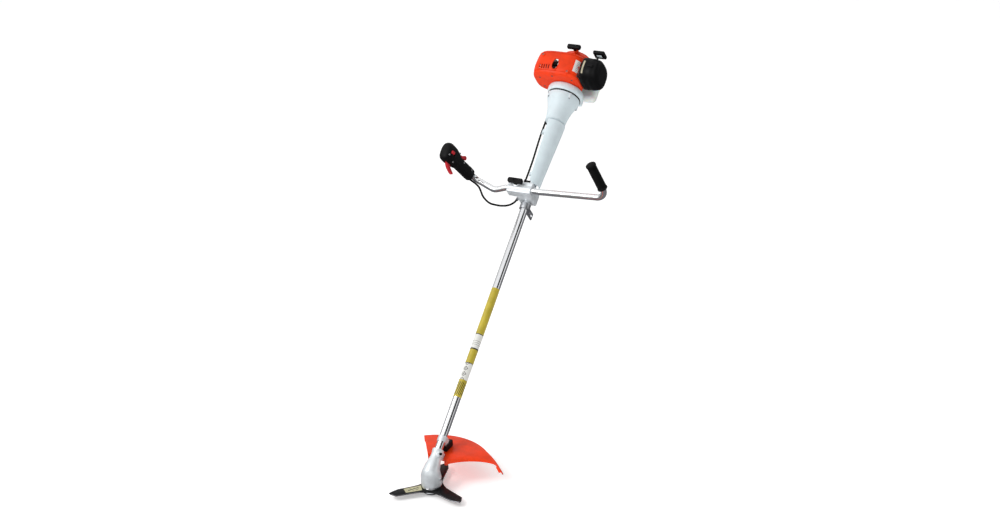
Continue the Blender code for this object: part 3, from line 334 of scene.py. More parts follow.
def tube_label_print(tree, yellow):
    """Plain yellow, a white field with thin rules, yellow, a row of lozenges on white, and a hatched end."""
    along, across = tube_place(tree)
    white, ink = (0.80, 0.80, 0.76), (0.02, 0.02, 0.015)
    shown = mix_colours(tree, between(tree, along, 471, 526, 0.4), yellow, white)
    shown = mix_colours(tree, between(tree, along, *LABEL_FIELD, 0.4), shown, white)
    step = maths(tree, "PINGPONG", maths(tree, "SUBTRACT", along, LABEL_FIELD[0]), 10.67)
    lozenge = maths(tree, "ADD", maths(tree, "MULTIPLY", maths(tree, "ABSOLUTE", across), 1.1), step)
    for inner, outer in ((6.5, 9.5), (-1, 3.0)):
        field = between(tree, along, *LABEL_FIELD, 0.3)
        mark = maths(tree, "MULTIPLY", between(tree, lozenge, inner, outer, 0.3), field)
        shown = mix_colours(tree, mark, shown, ink)
    slanted = maths(tree, "FRACT", maths(tree, "MULTIPLY", maths(tree, "ADD", along, across), 1 / 9))
    slanted_bars = between(tree, slanted, 0.2, 0.55, 0.03)
    hatch = maths(tree, "MULTIPLY", slanted_bars, between(tree, along, 290, 340, 0.4))
    shown = mix_colours(tree, hatch, shown, ink)
    for place, width in ((527, 3.0), (500, 1.0), (493, 1.0), (486, 1.0), (470, 5.0), (414, 2.5)):
        shown = mix_colours(tree, between(tree, along, place - width / 2, place + width / 2, 0.3), shown, ink)
    return shown


def strip_print(tree, paper):
    """Grey rules across a label on the engine's shroud."""
    along, across = tube_place(tree)
    grey = (0.30, 0.28, 0.28)
    rules = maths(tree, "FRACT", maths(tree, "MULTIPLY", along, 1 / 6.5))
    lined = maths(tree, "MULTIPLY", between(tree, rules, 0.25, 0.5, 0.03), between(tree, across, 54, 60, 0.4))
    return mix_colours(tree, lined, paper, grey)


def knife_print(tree, paper):
    """Dark bars across the label on the knife."""
    place = add_node(tree, "ShaderNodeTexCoord").outputs["Object"]
    way = (math.cos(BLADE_TURN), math.sin(BLADE_TURN), 0)
    out = maths(tree, "MULTIPLY", dot(tree, place, way), 1 / MM)
    side = maths(tree, "MULTIPLY", dot(tree, place, (-way[1], way[0], 0)), 1 / MM)
    bars = maths(tree, "FRACT", maths(tree, "MULTIPLY", maths(tree, "ADD", out, side), 1 / 13))
    inked = maths(tree, "MULTIPLY", between(tree, bars, 0.2, 0.6, 0.02), between(tree, side, -8, 6, 0.3))
    inked = maths(tree, "MULTIPLY", inked, between(tree, out, 46, 84, 0.3))
    return mix_colours(tree, inked, paper, (0.03, 0.035, 0.02))


def make_materials():
    grime = (0.05, 0.045, 0.04)
    return {
        # cast_alloy: rubbed lighter edges, and a darker grey in hollows that is painted shade
        "cast_alloy": finish_material(
            "cast_alloy", (0.78, 0.82, 0.85), 0.44, 0.5, 1.1, 0.12, 0.10, (0.92, 0.93, 0.95), (0.16, 0.17, 0.18)
        ),
        "chrome": finish_material("chrome", (0.90, 0.91, 0.92), 0.12, 1.0, 0.5, 0.004, 0.03),
        "polished_aluminium": finish_material(
            "polished_aluminium", (0.90, 0.91, 0.93), 0.13, 1.0, 0.5, 0.004, 0.03, streaks=TUBE_WAY
        ),
        "steel": finish_material(
            "steel", (0.50, 0.51, 0.53), 0.36, 1.0, 0.6, 0.02, 0.12, (0.8, 0.8, 0.8), (0.12, 0.10, 0.09)
        ),
        "dark_steel": finish_material(
            "dark_steel", (0.16, 0.155, 0.15), 0.5, 0.9, 0.9, 0.05, 0.25, (0.4, 0.38, 0.36), (0.10, 0.05, 0.03)
        ),
        "blade_steel": finish_material(
            "blade_steel", (0.004, 0.004, 0.005), 0.45, 0.0, 0.8, 0.03, 0.2, (0.05, 0.05, 0.05), specular=0.16
        ),
        "ground_steel": finish_material(
            "ground_steel", (0.16, 0.16, 0.17), 0.34, 1.0, 0.4, 0.02, 0.12, streaks=(0, 0, 1)
        ),
        # orange_plastic: the lighter orange along convex edges is a painted highlight, the dark crimson in
        # hollows painted shade
        "orange_plastic": finish_material(
            "orange_plastic", (0.88, 0.046, 0.003), 0.4, 0.0, 1.0, 0.03, 0.10, (0.95, 0.10, 0.03),
            (0.25, 0.010, 0.004),
            specular=0.22,
        ),
        # orange_shade: a dark shade of the orange, used as painted shade for the dark line along the guard's
        # rim
        "orange_shade": finish_material(
            "orange_shade", (0.16, 0.018, 0.008), 0.5, 0.0, 1.0, 0.03, 0.10, specular=0.2
        ),
        "black_plastic": finish_material(
            "black_plastic", (0.0035, 0.0035, 0.004), 0.5, 0.0, 0.7, 0.06, 0.2, (0.02, 0.02, 0.02),
            specular=0.15
        ),
        "black_rubber": finish_material(
            "black_rubber", (0.0035, 0.0035, 0.0035), 0.6, 0.0, 0.5, 0.08, 0.25, (0.015, 0.015, 0.015),
            specular=0.15
        ),
        # light_plastic: the paler edge colour is a painted highlight, the blue-grey in hollows painted shade
        "light_plastic": finish_material(
            "light_plastic", (0.70, 0.80, 0.84), 0.40, 0.0, 1.0, 0.03, 0.03, (0.86, 0.91, 0.94),
            (0.30, 0.36, 0.40),
            specular=0.3,
        ),
        "tank_plastic": finish_material(
            "tank_plastic", (0.84, 0.85, 0.83), 0.34, 0.0, 1.2, 0.03, 0.03, None, (0.45, 0.44, 0.42),
            subsurface=0.35
        ),
        # red_plastic: the pink along convex edges is a painted highlight
        "red_plastic": finish_material(
            "red_plastic", (0.50, 0.012, 0.022), 0.34, 0.0, 0.8, 0.03, 0.08, (0.75, 0.10, 0.12), specular=0.3
        ),
        "yellow_vinyl": finish_material(
            "yellow_vinyl", (0.52, 0.41, 0.035), 0.40, 0.0, 0.6, 0.01, 0.12, pattern=tube_label_print
        ),
        "label_paper": finish_material(
            "label_paper", (0.82, 0.78, 0.74), 0.45, 0.0, 0.6, 0.01, 0.04, pattern=strip_print
        ),
        "knife_label": finish_material(
            "knife_label", (0.50, 0.48, 0.30), 0.5, 0.0, 0.6, 0.01, 0.1, pattern=knife_print
        ),
        "filter_felt": finish_material(
            "filter_felt", (0.58, 0.52, 0.36), 0.9, 0.0, 0.35, 0.25, 0.2, None, grime, sheen=0.4
        ),
    }


# Mesh helpers, in mm ---------------------------------------------------------------------------------

MATERIALS = {}


def show(name, bm, material, body="machine", place=TUBE, stands_for=(), sharp=32):
    """Sets a finished bmesh into the row frame as a piece that rides on a body."""
    bmesh.ops.recalc_face_normals(bm, faces=bm.faces)
    mesh = bpy.data.meshes.new(name)
    bm.to_mesh(mesh)
    bm.free()
    mesh.transform(Matrix.Scale(MM, 4) @ place)
    mesh.materials.append(MATERIALS[material])
    mesh.shade_smooth()
    mesh.set_sharp_from_angle(angle=math.radians(sharp))
    piece = bpy.data.objects.new(name, mesh)
    bpy.context.scene.collection.objects.link(piece)
    if body:
        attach(piece, body)
    if stands_for:
        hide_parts(*stands_for)
    return piece


def scratch_object(bm):
    bmesh.ops.recalc_face_normals(bm, faces=bm.faces)
    mesh = bpy.data.meshes.new("scratch")
    bm.to_mesh(mesh)
    bm.free()
    item = bpy.data.objects.new("scratch", mesh)
    bpy.context.scene.collection.objects.link(item)
    return item


def evaluated(item):
    bpy.context.view_layer.update()
    result = bmesh.new()
    result.from_object(item, bpy.context.evaluated_depsgraph_get())
    return result


def carve(body, cutters=(), unions=()):
    """The bmesh body with the bmeshes in unions added and those in cutters taken away."""
    base = scratch_object(body)
    helpers = []
    for operation, tools in (("UNION", unions), ("DIFFERENCE", cutters)):
        for tool in tools:
            helper = scratch_object(tool)
            modifier = base.modifiers.new(operation, "BOOLEAN")
            modifier.operation = operation
            modifier.object = helper
            helpers.append(helper)
    result = evaluated(base)
    bmesh.ops.remove_doubles(result, verts=result.verts, dist=1e-4)
    for item in [base, *helpers]:
        bpy.data.objects.remove(item)
    return result


def joined(*parts):
    """One bmesh holding several bodies."""
    whole = bmesh.new()
    for part in parts:
        bmesh.ops.recalc_face_normals(part, faces=part.faces)
        mesh = bpy.data.meshes.new("part")
        part.to_mesh(mesh)
        part.free()
        whole.from_mesh(mesh)
        bpy.data.meshes.remove(mesh)
    return whole


def cast(parts, voxel, rounds):
    """Melts overlapping bodies into one skin whose inner corners are filleted, as a casting's are."""
    item = scratch_object(joined(*parts))
    modifier = item.modifiers.new("melt", "REMESH")
    modifier.mode = "VOXEL"
    modifier.voxel_size = voxel
    result = evaluated(item)
    bpy.data.objects.remove(item)
    for _ in range(rounds):
        bmesh.ops.smooth_vert(
            result, verts=result.verts, factor=0.5, use_axis_x=True, use_axis_y=True, use_axis_z=True
        )
    return result


def moved(bm, place=(0, 0, 0), turn=None):
    bm.transform(Matrix.Translation(place) @ (turn.to_4x4() if turn else Matrix()))
    return bm


AXIS_TURNS = {  # turns +Z onto the axis named
    "X": Matrix.Rotation(math.radians(90), 4, "Y"),
    "Y": Matrix.Rotation(math.radians(-90), 4, "X"),
    "Z": Matrix.Identity(4),
}


def towards(direction):
    """The rotation that turns +Z onto a direction."""
    return Vector((0, 0, 1)).rotation_difference(Vector(direction)).to_matrix()


def turned(profile, axis="Z", steps=ROUND):
    """A turned solid from (place along the axis, radius) pairs, open at the axis or a closed loop."""
    bm = bmesh.new()
    points = [bm.verts.new((radius, 0, along)) for along, radius in profile]
    ring_shaped = all(radius > 0 for _, radius in profile)
    following = points[1:] + points[:1] if ring_shaped else points[1:]
    edges = [bm.edges.new(pair) for pair in zip(points, following)]
    bmesh.ops.spin(
        bm, geom=[*points, *edges], cent=(0, 0, 0), axis=(0, 0, 1), angle=2 * math.pi, steps=steps,
        use_merge=True
    )
    bmesh.ops.remove_doubles(bm, verts=bm.verts, dist=1e-4)
    return moved(bm, turn=AXIS_TURNS[axis])


def eased(profile, radius=0.8, steps=3):
    """A turned profile with each of its corners off the axis rounded."""
    points = [Vector((a, r, 0)) for a, r in profile]
    closed = all(r > 0 for _, r in profile)
    count = len(points)
    soft = []
    for i, corner in enumerate(points):
        if not closed and (i in (0, count - 1) or corner.y == 0):
            soft.append((corner.x, corner.y))
            continue
        before, after = points[i - 1] - corner, points[(i + 1) % count] - corner
        if before.length < 1e-6 or after.length < 1e-6 or before.angle(after) > math.radians(170):
            soft.append((corner.x, corner.y))
            continue
        reach = min(radius, 0.45 * before.length, 0.45 * after.length)
        start, end = corner + before.normalized() * reach, corner + after.normalized() * reach
        for k in range(steps + 1):
            t = k / steps
            point = start * (1 - t) ** 2 + corner * 2 * t * (1 - t) + end * t**2
            soft.append((point.x, point.y))
    return soft


def rod(radius, low, high, axis="Z", steps=SMALL_ROUND, place=(0, 0, 0)):
    return moved(turned([(low, 0), (low, radius), (high, radius), (high, 0)], axis, steps), place)


def ring(inner, outer, low, high, axis="Y", steps=ROUND, ease=0.6):
    """A ring, or a disc where inner is 0, with its edges rounded."""
    profile = [(low, inner), (low, outer), (high, outer), (high, inner)]
    return turned(eased(profile, ease) if ease else profile, axis, steps)


def on_circle(radius, count=4, start=45):
    """Evenly spaced places on a circle, as pairs."""
    turns = [math.radians(start) + 2 * math.pi * i / count for i in range(count)]
    return [(radius * math.cos(turn), radius * math.sin(turn)) for turn in turns]


def block(low, high, bevel=0.0, segments=4):
    """A box between two corners, its edges rounded."""
    bm = bmesh.new()
    low, high = Vector(low), Vector(high)
    bmesh.ops.create_cube(bm, size=1)
    bm.transform(Matrix.Translation((low + high) / 2) @ Matrix.Diagonal((*(high - low), 1)))
    if bevel:
        bmesh.ops.bevel(bm, geom=list(bm.edges), offset=bevel, segments=segments, profile=0.5, affect="EDGES")
    return bm


def soften(bm, width, segments=3, sharper_than=40):
    """Rounds the edges of a body that turn sharply."""
    bm.normal_update()
    limit = math.radians(sharper_than)
    edges = [e for e in bm.edges if len(e.link_faces) == 2 and e.calc_face_angle(0) > limit]
    bmesh.ops.bevel(
        bm, geom=edges, offset=width, segments=segments, profile=0.5, affect="EDGES", clamp_overlap=True
    )
    return bm


def prism(outline, low, high, bevel=0.0):
    """A flat outline in x and y given a thickness, with its two rims rounded."""
    bm = bmesh.new()
    face = bm.faces.new([bm.verts.new((x, y, low)) for x, y in outline])
    raised = bmesh.ops.extrude_face_region(bm, geom=[face])["geom"]
    top = [part for part in raised if isinstance(part, bmesh.types.BMVert)]
    bmesh.ops.translate(bm, verts=top, vec=(0, 0, high - low))
    return soften(bm, bevel, 3, 60) if bevel else bm


def loft(sections, closed_ring=False):
    """Skins loops of equally many points, capping the ends unless the loops themselves close into a ring."""
    bm = bmesh.new()
    loops = [[bm.verts.new(point) for point in section] for section in sections]
    count = len(loops[0])
    pairs = list(zip(loops, loops[1:]))
    if closed_ring:
        pairs.append((loops[-1], loops[0]))
    for one, two in pairs:
        for i in range(count):
            j = (i + 1) % count
            bm.faces.new((one[i], one[j], two[j], two[i]))
    if not closed_ring:
        bm.faces.new(loops[0])
        bm.faces.new(list(reversed(loops[-1])))
    return bm


def oval(centre_x, centre_z, half_x, half_z, y, power=2.0, steps=ROUND):
    """A rounded loop in a plane square to y. Power 2 is an ellipse, and more is squarer."""
    points = []
    for i in range(steps):
        angle = 2 * math.pi * i / steps
        c, s = math.cos(angle), math.sin(angle)
        x = math.copysign(abs(c) ** (2 / power), c) * half_x
        z = math.copysign(abs(s) ** (2 / power), s) * half_z
        points.append(Vector((centre_x + x, y, centre_z + z)))
    return points


def curve_through(rows, per_gap, closed=False):
    """Rows of numbers, each gap between two of them filled along a Catmull-Rom curve."""
    rows = [Vector(row) for row in rows]
    around = [rows[-1], *rows, *rows[:2]] if closed else [rows[0], *rows, rows[-1]]
    fine = []
    for a, b, c, d in zip(around, around[1:], around[2:], around[3:]):
        for k in range(per_gap):
            t = k / per_gap
            bend, twist = 2 * a - 5 * b + 4 * c - d, 3 * b - a - 3 * c + d
            fine.append(0.5 * (2 * b + (c - a) * t + bend * t**2 + twist * t**3))
    if not closed:
        fine.append(rows[-1])
    return fine


def rounded_path(corners, radius, step=math.radians(5)):
    """A path through corners, each inner corner rounded by an arc, with a point every step of turn."""
    corners = [Vector(c) for c in corners]
    path = [corners[0]]
    for before, corner, after in zip(corners, corners[1:], corners[2:]):
        way_in, way_out = (before - corner).normalized(), (after - corner).normalized()
        half = way_in.angle(way_out) / 2
        reach = min(radius / math.tan(half), 0.45 * min((before - corner).length, (after - corner).length))
        centre = corner + (way_in + way_out).normalized() * reach / math.cos(half)
        start, end = corner + way_in * reach - centre, corner + way_out * reach - centre
        steps = max(1, round((math.pi - 2 * half) / step))
        for i in range(steps + 1):
            path.append(centre + start.slerp(end, i / steps) * start.length)
    path.append(corners[-1])
    return path


def swept(path, radius, inner=0.0, steps=SMALL_ROUND):
    """A bar, or a tube where inner is given, along a path."""
    path = [Vector(p) for p in path]
    side = Vector((0, 1, 0))
    loops, hollows = [], []
    for i, point in enumerate(path):
        ahead = (path[min(i + 1, len(path) - 1)] - path[max(i - 1, 0)]).normalized()
        side = (side - ahead * side.dot(ahead)).normalized()
        other = ahead.cross(side)
        angles = [2 * math.pi * k / steps for k in range(steps)]
        ways = [side * math.cos(a) + other * math.sin(a) for a in angles]
        loops.append([point + way * radius for way in ways])
        hollows.append([point + way * inner for way in ways])
    if inner:
        return loft(loops + hollows[::-1], closed_ring=True)
    return loft(loops)


def shell(rows, thickness):
    """A sheet through a grid of points, thickened on its inner side, as one closed body."""
    bm = bmesh.new()
    grid = [[bm.verts.new(p) for p in row] for row in rows]
    for one, two in zip(grid, grid[1:]):
        for i in range(len(one) - 1):
            bm.faces.new((one[i], one[i + 1], two[i + 1], two[i]))
    bm.normal_update()
    inner = [[bm.verts.new(v.co - v.normal * thickness) for v in row] for row in grid]
    for one, two in zip(inner, inner[1:]):
        for i in range(len(one) - 1):
            bm.faces.new((one[i], two[i], two[i + 1], one[i + 1]))
    rim = [*grid[0], *[row[-1] for row in grid[1:]], *grid[-1][-2::-1], *[row[0] for row in grid[-2:0:-1]]]
    back = [*inner[0], *[row[-1] for row in inner[1:]], *inner[-1][-2::-1], *[row[0] for row in inner[-2:0:-1]]]
    for i in range(len(rim)):
        j = (i + 1) % len(rim)
        bm.faces.new((rim[i], back[i], back[j], rim[j]))
    return bm


def screw_head(place, direction, radius=4.2, height=3.6):
    """A cylinder-head screw with a six-sided recess; place is where its head meets the part."""
    cup = [(-2, 0), (-2, radius), (height - 0.8, radius), (height, radius - 0.8), (height, 0)]
    hexagon = rod(radius * 0.55, height - 2.2, height + 2, steps=6)
    head = carve(turned(cup, steps=SMALL_ROUND), cutters=[hexagon])
    return moved(head, place, towards(direction))


def show_screws(name, screws, material="steel", body="machine", place=TUBE):
    """One piece of several screw heads, each given as screw_head's arguments."""
    show(name, joined(*[screw_head(*screw) for screw in screws]), material, body, place)


# Cutting head ----------------------------------------------------------------------------------------


def make_gearbox():
    """A pear-shaped casting with a clamp lug under its neck, a boss for the clamp's screw and side ribs."""
    across = Matrix.Translation((0, 0, AXES_CROSS_HEIGHT)) @ Matrix.Rotation(TUBE_ANGLE, 4, "X")
    outline = [(31.2, 33), (34, 36), (46, 36.5), (62, 35), (82, 31), (96, 23), (104, 12), (106, 0.3)]
    belly_curve = curve_through(outline, 4)
    belly = turned([(31.2, 0), *[(p.x, p.y) for p in belly_curve[:-1]], (106, 0)])
    neck_curve = curve_through([(0, 29), (22, 27), (48, 20.5), (60, 19), (82, 19)], 4)
    neck = turned([(0, 0), *[(p.x, p.y) for p in neck_curve], (84, 18), (84, 0)], "Y")
    lug = block((-20, 54, -22), (20, 80, -6), 4)
    boss = moved(rod(9, 8, 26.6), (0, 64, 0), SCREW_LEAN)
    collar = ring(10, 20.4, 72, 83.5, ease=1.2)
    ribs = [block((side * 19 - 1.6, 6, -3), (side * 19 + 1.6, 66, 3), 1) for side in (1, -1)]
    pads = [rod(8.5, low, low + 29.4, "X", place=(0, 0, 58)) for low in (8, -37.4)]
    on_neck = [neck, lug, boss, collar, *ribs]
    for part in on_neck:
        part.transform(across)
    casting = cast([belly, *on_neck, *pads], 1.15, 5)
    stack_bore = turned([(20, 0), (20, 20), (57.5, 20), (57.5, 27.5), (79, 27.5), (79, 0)])
    tube_bore = turned([(8, 0), (8, 19.8), (26, 19.8), (26, 14.3), (110, 14.3), (110, 0)], "Y")
    screw_hole = moved(rod(2.8, 16, 50), (0, 64, 0), SCREW_LEAN)
    slit = block((-1, 58, -40), (1, 110, -12))
    for part in (tube_bore, screw_hole, slit):
        part.transform(across)
    shape = carve(casting, cutters=[stack_bore, tube_bore, screw_hole, slit])
    show("gearbox_casting", shape, "cast_alloy", place=ROW, stands_for=["gearbox_housing"])


def make_gearbox_screws():
    way = SCREW_LEAN.to_3x3() @ Vector((0, 0, 1))
    clamp = screw_head(way * 27.3 + Vector((0, 64, 0)), way, 4.5, 4)
    shank = moved(rod(2.5, -9.5, 0), way * 27.3 + Vector((0, 64, 0)), towards(way))
    show("gearbox_screw", joined(clamp, shank), "black_plastic", stands_for=["gearbox_clamp_screw"])
    show_screws("gearbox_lug_screws", [((side * 13, 67, -22), (0, 0, -1), 4, 3.4) for side in (1, -1)])
    plug_screw = carve(rod(5.5, 0, 2.2, "X"), cutters=[rod(2.4, 0.8, 4, "X", 6)])
    show("grease_plug", moved(plug_screw, (37, 0, 58)), "steel", place=ROW)


def make_cutter_stack():
    plate = [
        (30.2, 7.3), (30.2, 13), (27, 15), (27, 29), (30.4, 32), (30.4, 35), (24, 35), (22.3, 33),
        (22.3, 7.3),
    ]
    show("thrust_disc", turned(eased(plate, 1.0), steps=96), "chrome", "cutter", ROW, ["thrust_plate"])
    rider = [
        (17.7, 10.3), (17.7, 39), (15, 41), (4, 31), (1.5, 27), (1.5, 20), (4, 18), (11, 15.5), (11, 10.3),
    ]
    show("rider_disc", turned(eased(rider, 1.2), steps=96), "steel", "cutter", ROW, ["rider_plate"])
    crown = turned([(2.5, 0), (2.5, 9.2), (4.2, 12.5), (10, 12.5), (10, 0)], steps=ROUND)
    hexagon = rod(11, 2, 10.5, steps=6)
    item = scratch_object(crown)
    helper = scratch_object(hexagon)
    modifier = item.modifiers.new("hexagon", "BOOLEAN")
    modifier.operation = "INTERSECT"
    modifier.object = helper
    nut = evaluated(item)
    for old in (item, helper):
        bpy.data.objects.remove(old)
    flange = ring(6, 13, 8.4, 10.7, "Z")
    nut = carve(nut, unions=[flange], cutters=[rod(5.3, -10, 30, steps=ROUND)])
    show("spindle_hex_nut", nut, "steel", "cutter", ROW, ["spindle_nut"])


def knife_outline(inset):
    """Three arms, each swept back along its leading edge to a point. inset pulls the outline in, in mm."""
    outline = []
    for arm in range(3):
        turn = BLADE_TURN + arm * 2 * math.pi / 3
        shape = [
            (30, -27), (46, -24.4), (62, -23), (90, -22), (118, -21), (136, -15), (BLADE_RADIUS, -8),
            (146, 3),
            (132, 19), (101, 21), (70, 23), (46, 25), (34, 27),
        ]
        middle = Vector((60, 0))
        for x, y in shape:
            point = Vector((x, y))
            if inset and x > 40:
                point -= (point - middle).normalized() * inset
            outline.append(point.to_3d())
            outline[-1].rotate(Matrix.Rotation(turn, 3, "Z"))
    return outline


def make_knife():
    """Its edges are ground to a chamfer on both faces, which leaves bright steel outside the lacquer."""
    lows = [BLADE_LOW, BLADE_LOW + 1.4, BLADE_HIGH - 1.4, BLADE_HIGH]
    sections = []
    for height, inset in zip(lows, (3.2, 0, 0, 3.2)):
        sections.append([Vector((p.x, p.y, height)) for p in knife_outline(inset)])
    blank = loft(sections)
    holes = [rod(10, BLADE_LOW - 5, BLADE_HIGH + 5, steps=ROUND)]
    holes += [rod(2.6, 10, 30, place=(x, y, 0)) for x, y in on_circle(24, 3, math.degrees(BLADE_TURN) + 60)]
    knife = carve(blank, cutters=holes)
    piece = show("brush_knife_ground", knife, "blade_steel", "cutter", ROW, ["brush_knife"])
    piece.data.materials.append(MATERIALS["ground_steel"])
    for face in piece.data.polygons:
        out = face.center.to_2d().length / MM
        if abs(face.normal.z) < 0.9 and out > 60:
            face.material_index = 1
    turn = Matrix.Rotation(BLADE_TURN, 4, "Z")
    corners = [(36, -16), (38, 15), (94, 12), (97, -15)]
    label = moved(prism(corners, BLADE_HIGH + 0.05, BLADE_HIGH + 0.2), turn=turn)
    show("knife_label", label, "knife_label", "cutter", ROW)


# Guard -----------------------------------------------------------------------------------------------


def guard_inner(angle):
    """How far the guard's inner edge is from the spindle at an angle in degrees."""
    if angle > 70:
        return min(81, 64 + 17 * (angle - 70) / 4)
    share = min(1.0, max(0.0, (angle - 24) / 28))
    return 236 - 172 * share**2 * (3 - 2 * share)


def guard_row(turn, share):
    """Across the guard at one angle: up its inner lip, over its crowned top and down its rim."""
    tip = max(0.0, 1 - share / 0.3)
    outer = GUARD_RADIUS + 37 * tip**1.5 + 10 * share**2
    inner = min(guard_inner(math.degrees(turn)), outer - 6)
    drop = 18 * tip**1.6
    lip = 2 + 26 * min(1.0, share / 0.4) ** 2
    rim = 10 + 18 * min(1.0, share / 0.4)

    def top(out):
        crown = 1.2 * math.sin(math.pi * (out - inner) / max(1.0, outer - inner))
        return 104 - 10 * (out / GUARD_CROWN) ** 2 - drop + crown

    profile = [(inner, top(inner) - lip), (inner, top(inner) - 2.4), (inner + 0.8, top(inner) - 0.8)]
    for k in range(12):
        share_out = k / 11
        profile.append((inner + 2 + (outer - 2 - inner) * share_out, top(inner + (outer - inner) * share_out)))
    edge = top(outer)
    profile += [(outer + 2.6, edge - 1.2), (outer + 4.6, edge - 4), (outer + 5.4, edge - 7)]
    profile.append((outer + 6, edge - rim))
    return [Vector((r * math.cos(turn), r * math.sin(turn), h)) for r, h in profile]


def guard_rows(count=72):
    """Rows of points from the guard's right tip to its left end."""
    return [guard_row(math.radians(20 + 103 * i / count), i / count) for i in range(count + 1)]


def make_guard():
    """A moulded sheet with ribs under its top, and a thin dark rod along its rim that is painted shade
    outlining the edge.
    """
    show("guard_sheet", shell(guard_rows(), 3), "orange_plastic", place=ROW, stands_for=["blade_guard"])
    ribs = []
    for angle in (58, 74, 108):
        rib = block((84, -1.2, 80), (200, 1.2, 90), 0.5, 2)
        ribs.append(moved(rib, turn=Matrix.Rotation(math.radians(angle), 4, "Z")))
    show("guard_ribs", joined(*ribs), "orange_plastic", place=ROW)
    # A thin rod in a dark shade of the orange: painted shade that draws a dark outline along the guard's rim
    shade_line = [row[-1] + Vector((0, 0, 0.8)) for row in guard_rows()[::2]]
    show("guard_edge_shade_line", swept(shade_line, 1.6, steps=12), "orange_shade", place=ROW)


def make_guard_bracket():
    """A cast strap round the tube on a web, and a black foot bolted to the guard."""
    across = Matrix.Translation((0, 0, AXES_CROSS_HEIGHT)) @ Matrix.Rotation(TUBE_ANGLE, 4, "X")
    strap = ring(10, 16.7, 113, 134, ease=1.2)
    web = block((-12, 110, -30), (12, 138, -8), 2)
    bore = rod(TUBE_RADIUS + SLIDE, 60, 190, "Y", ROUND)
    for part in (strap, web, bore):
        part.transform(across)
    shape = carve(strap, unions=[web], cutters=[bore, block((-60, 60, 60), (60, 160, 118))])
    show("guard_strap", shape, "cast_alloy", place=ROW, stands_for=["guard_bracket"])
    foot = block((-24, 97, 102.3), (16, 146, 125.8), 3)
    clear = rod(TUBE_RADIUS + 0.4, 60, 190, "Y", ROUND)
    clear.transform(across)
    show("guard_foot", carve(foot, cutters=[clear]), "black_plastic", place=ROW)
    bolts = [((x, y, 125.8), (0, 0, 1), 3.6, 2.6) for x in (-19, 11) for y in (101.5, 110)]
    show_screws("guard_bolts", bolts, "dark_steel", place=ROW)


# Tube, shaft and label -------------------------------------------------------------------------------


def make_tube():
    wall = ring(12.4, TUBE_RADIUS, TUBE_START, TUBE_END, steps=96, ease=0.4)
    show("tube_polished", wall, "polished_aluminium", stands_for=["drive_tube"])
    label = ring(14.1, 14.45, LABEL_START, LABEL_END, steps=96, ease=0)
    show("tube_sticker", label, "yellow_vinyl", stands_for=["tube_label"])


# Handlebar -------------------------------------------------------------------------------------------


def support_bores():
    """What the tube, the bar and the wing screw's shank take out of the castings round them."""
    tube_bore = rod(TUBE_RADIUS + SLIDE, 1000, 1200, "Y", ROUND)
    bar_bore = rod(BAR_RADIUS + SLIDE, -100, 100, "X", ROUND, (0, BAR_Y, BAR_Z))
    return tube_bore, bar_bore, rod(4.3, 10, 90, place=KNOB_AXIS)


def make_supports():
    """Two cast halves round the tube, the upper one carrying the bar under a cap."""
    lower = cast([block((-30, 1066, -22), (30, 1110, -0.4), 3), rod(21, 1066.5, 1109.5, "Y")], 1.1, 3)
    lower = carve(lower, cutters=[support_bores()[0], block((-60, 1000, -0.3), (60, 1200, 60))])
    show("support_lower_cast", lower, "cast_alloy", stands_for=["handle_support_lower"])
    upper = cast(
        [
            block((-62, 1068, 30), (34, 1113, 54.6), 4), block((-30, 1066, 0.4), (30, 1110, 34), 3),
            block((-52, 1072, 20), (-18, 1109, 40), 4), rod(14, 30, 54.6, place=KNOB_AXIS),
        ],
        1.1, 4,
    )
    flat = block((-100, 1000, BAR_Z - 0.2), (100, 1200, 120))
    under = block((-100, 1000, -60), (100, 1200, 0.3))
    upper = carve(upper, cutters=[*support_bores(), flat, under])
    show("support_upper_cast", upper, "cast_alloy", stands_for=["handle_support_upper"])
    cap = cast(
        [
            block((-62, 1068, BAR_Z + 0.4), (34, 1113, 67), 4),
            rod(16.5, -61, 33, "X", place=(0, BAR_Y, BAR_Z)),
            rod(13, 56, 72, place=KNOB_AXIS),
        ],
        1.1, 4,
    )
    cap = carve(cap, cutters=[*support_bores()[1:], block((-100, 1000, 0), (100, 1200, BAR_Z + 0.2))])
    show("support_cap_cast", cap, "cast_alloy", stands_for=["handle_clamp_cap"])
    screws = [((side * 23.5, y, -22), (0, 0, -1), 4.2, 3.4) for side in (1, -1) for y in (1074, 1102)]
    show_screws("support_screws", screws)


def make_wing_screw():
    """A hub with two flat wings, fluted at their ends."""
    lobes = []
    for i in range(48):
        turn = 2 * math.pi * i / 48
        reach = 11 + 18 * abs(math.cos(turn)) ** 1.6
        lobes.append((reach * math.cos(turn), min(9.0, max(-9.0, reach * math.sin(turn)))))
    wings = prism(lobes, 4, 19, 2.4)
    dish = turned([(16.5, 0), (16.5, 6), (25, 8.5), (25, 0)], steps=ROUND)
    notches = [rod(1.5, 0, 30, place=(x, y, 0)) for x in (-23, -19, 19, 23) for y in (-9.5, 9.5)]
    hub = ring(0, 11, 0.5, 9, "Z", ease=0.8)
    shank = rod(4, -36, 3)
    knob = carve(wings, unions=[hub, shank], cutters=[dish, *notches])
    place = TUBE @ Matrix.Translation((KNOB_AXIS[0], KNOB_AXIS[1], 72))
    show("wing_knob", knob, "black_plastic", "wing_screw", place, ["wing_screw"])


def make_bar():
    corners = [
        LEFT_GRIP_END, LEFT_BEND, (62, BAR_Y, BAR_Z), (-70, BAR_Y, BAR_Z), (-110, 1070, 56), HANDLE_FOOT,
        HANDLE_FOOT + HANDLE_AXIS * 108,
    ]
    bar = swept(rounded_path(corners, 30), BAR_RADIUS, BAR_RADIUS - 1.6, 40)
    show("bar_chromed", bar, "chrome", "handlebar", stands_for=["handlebar"])


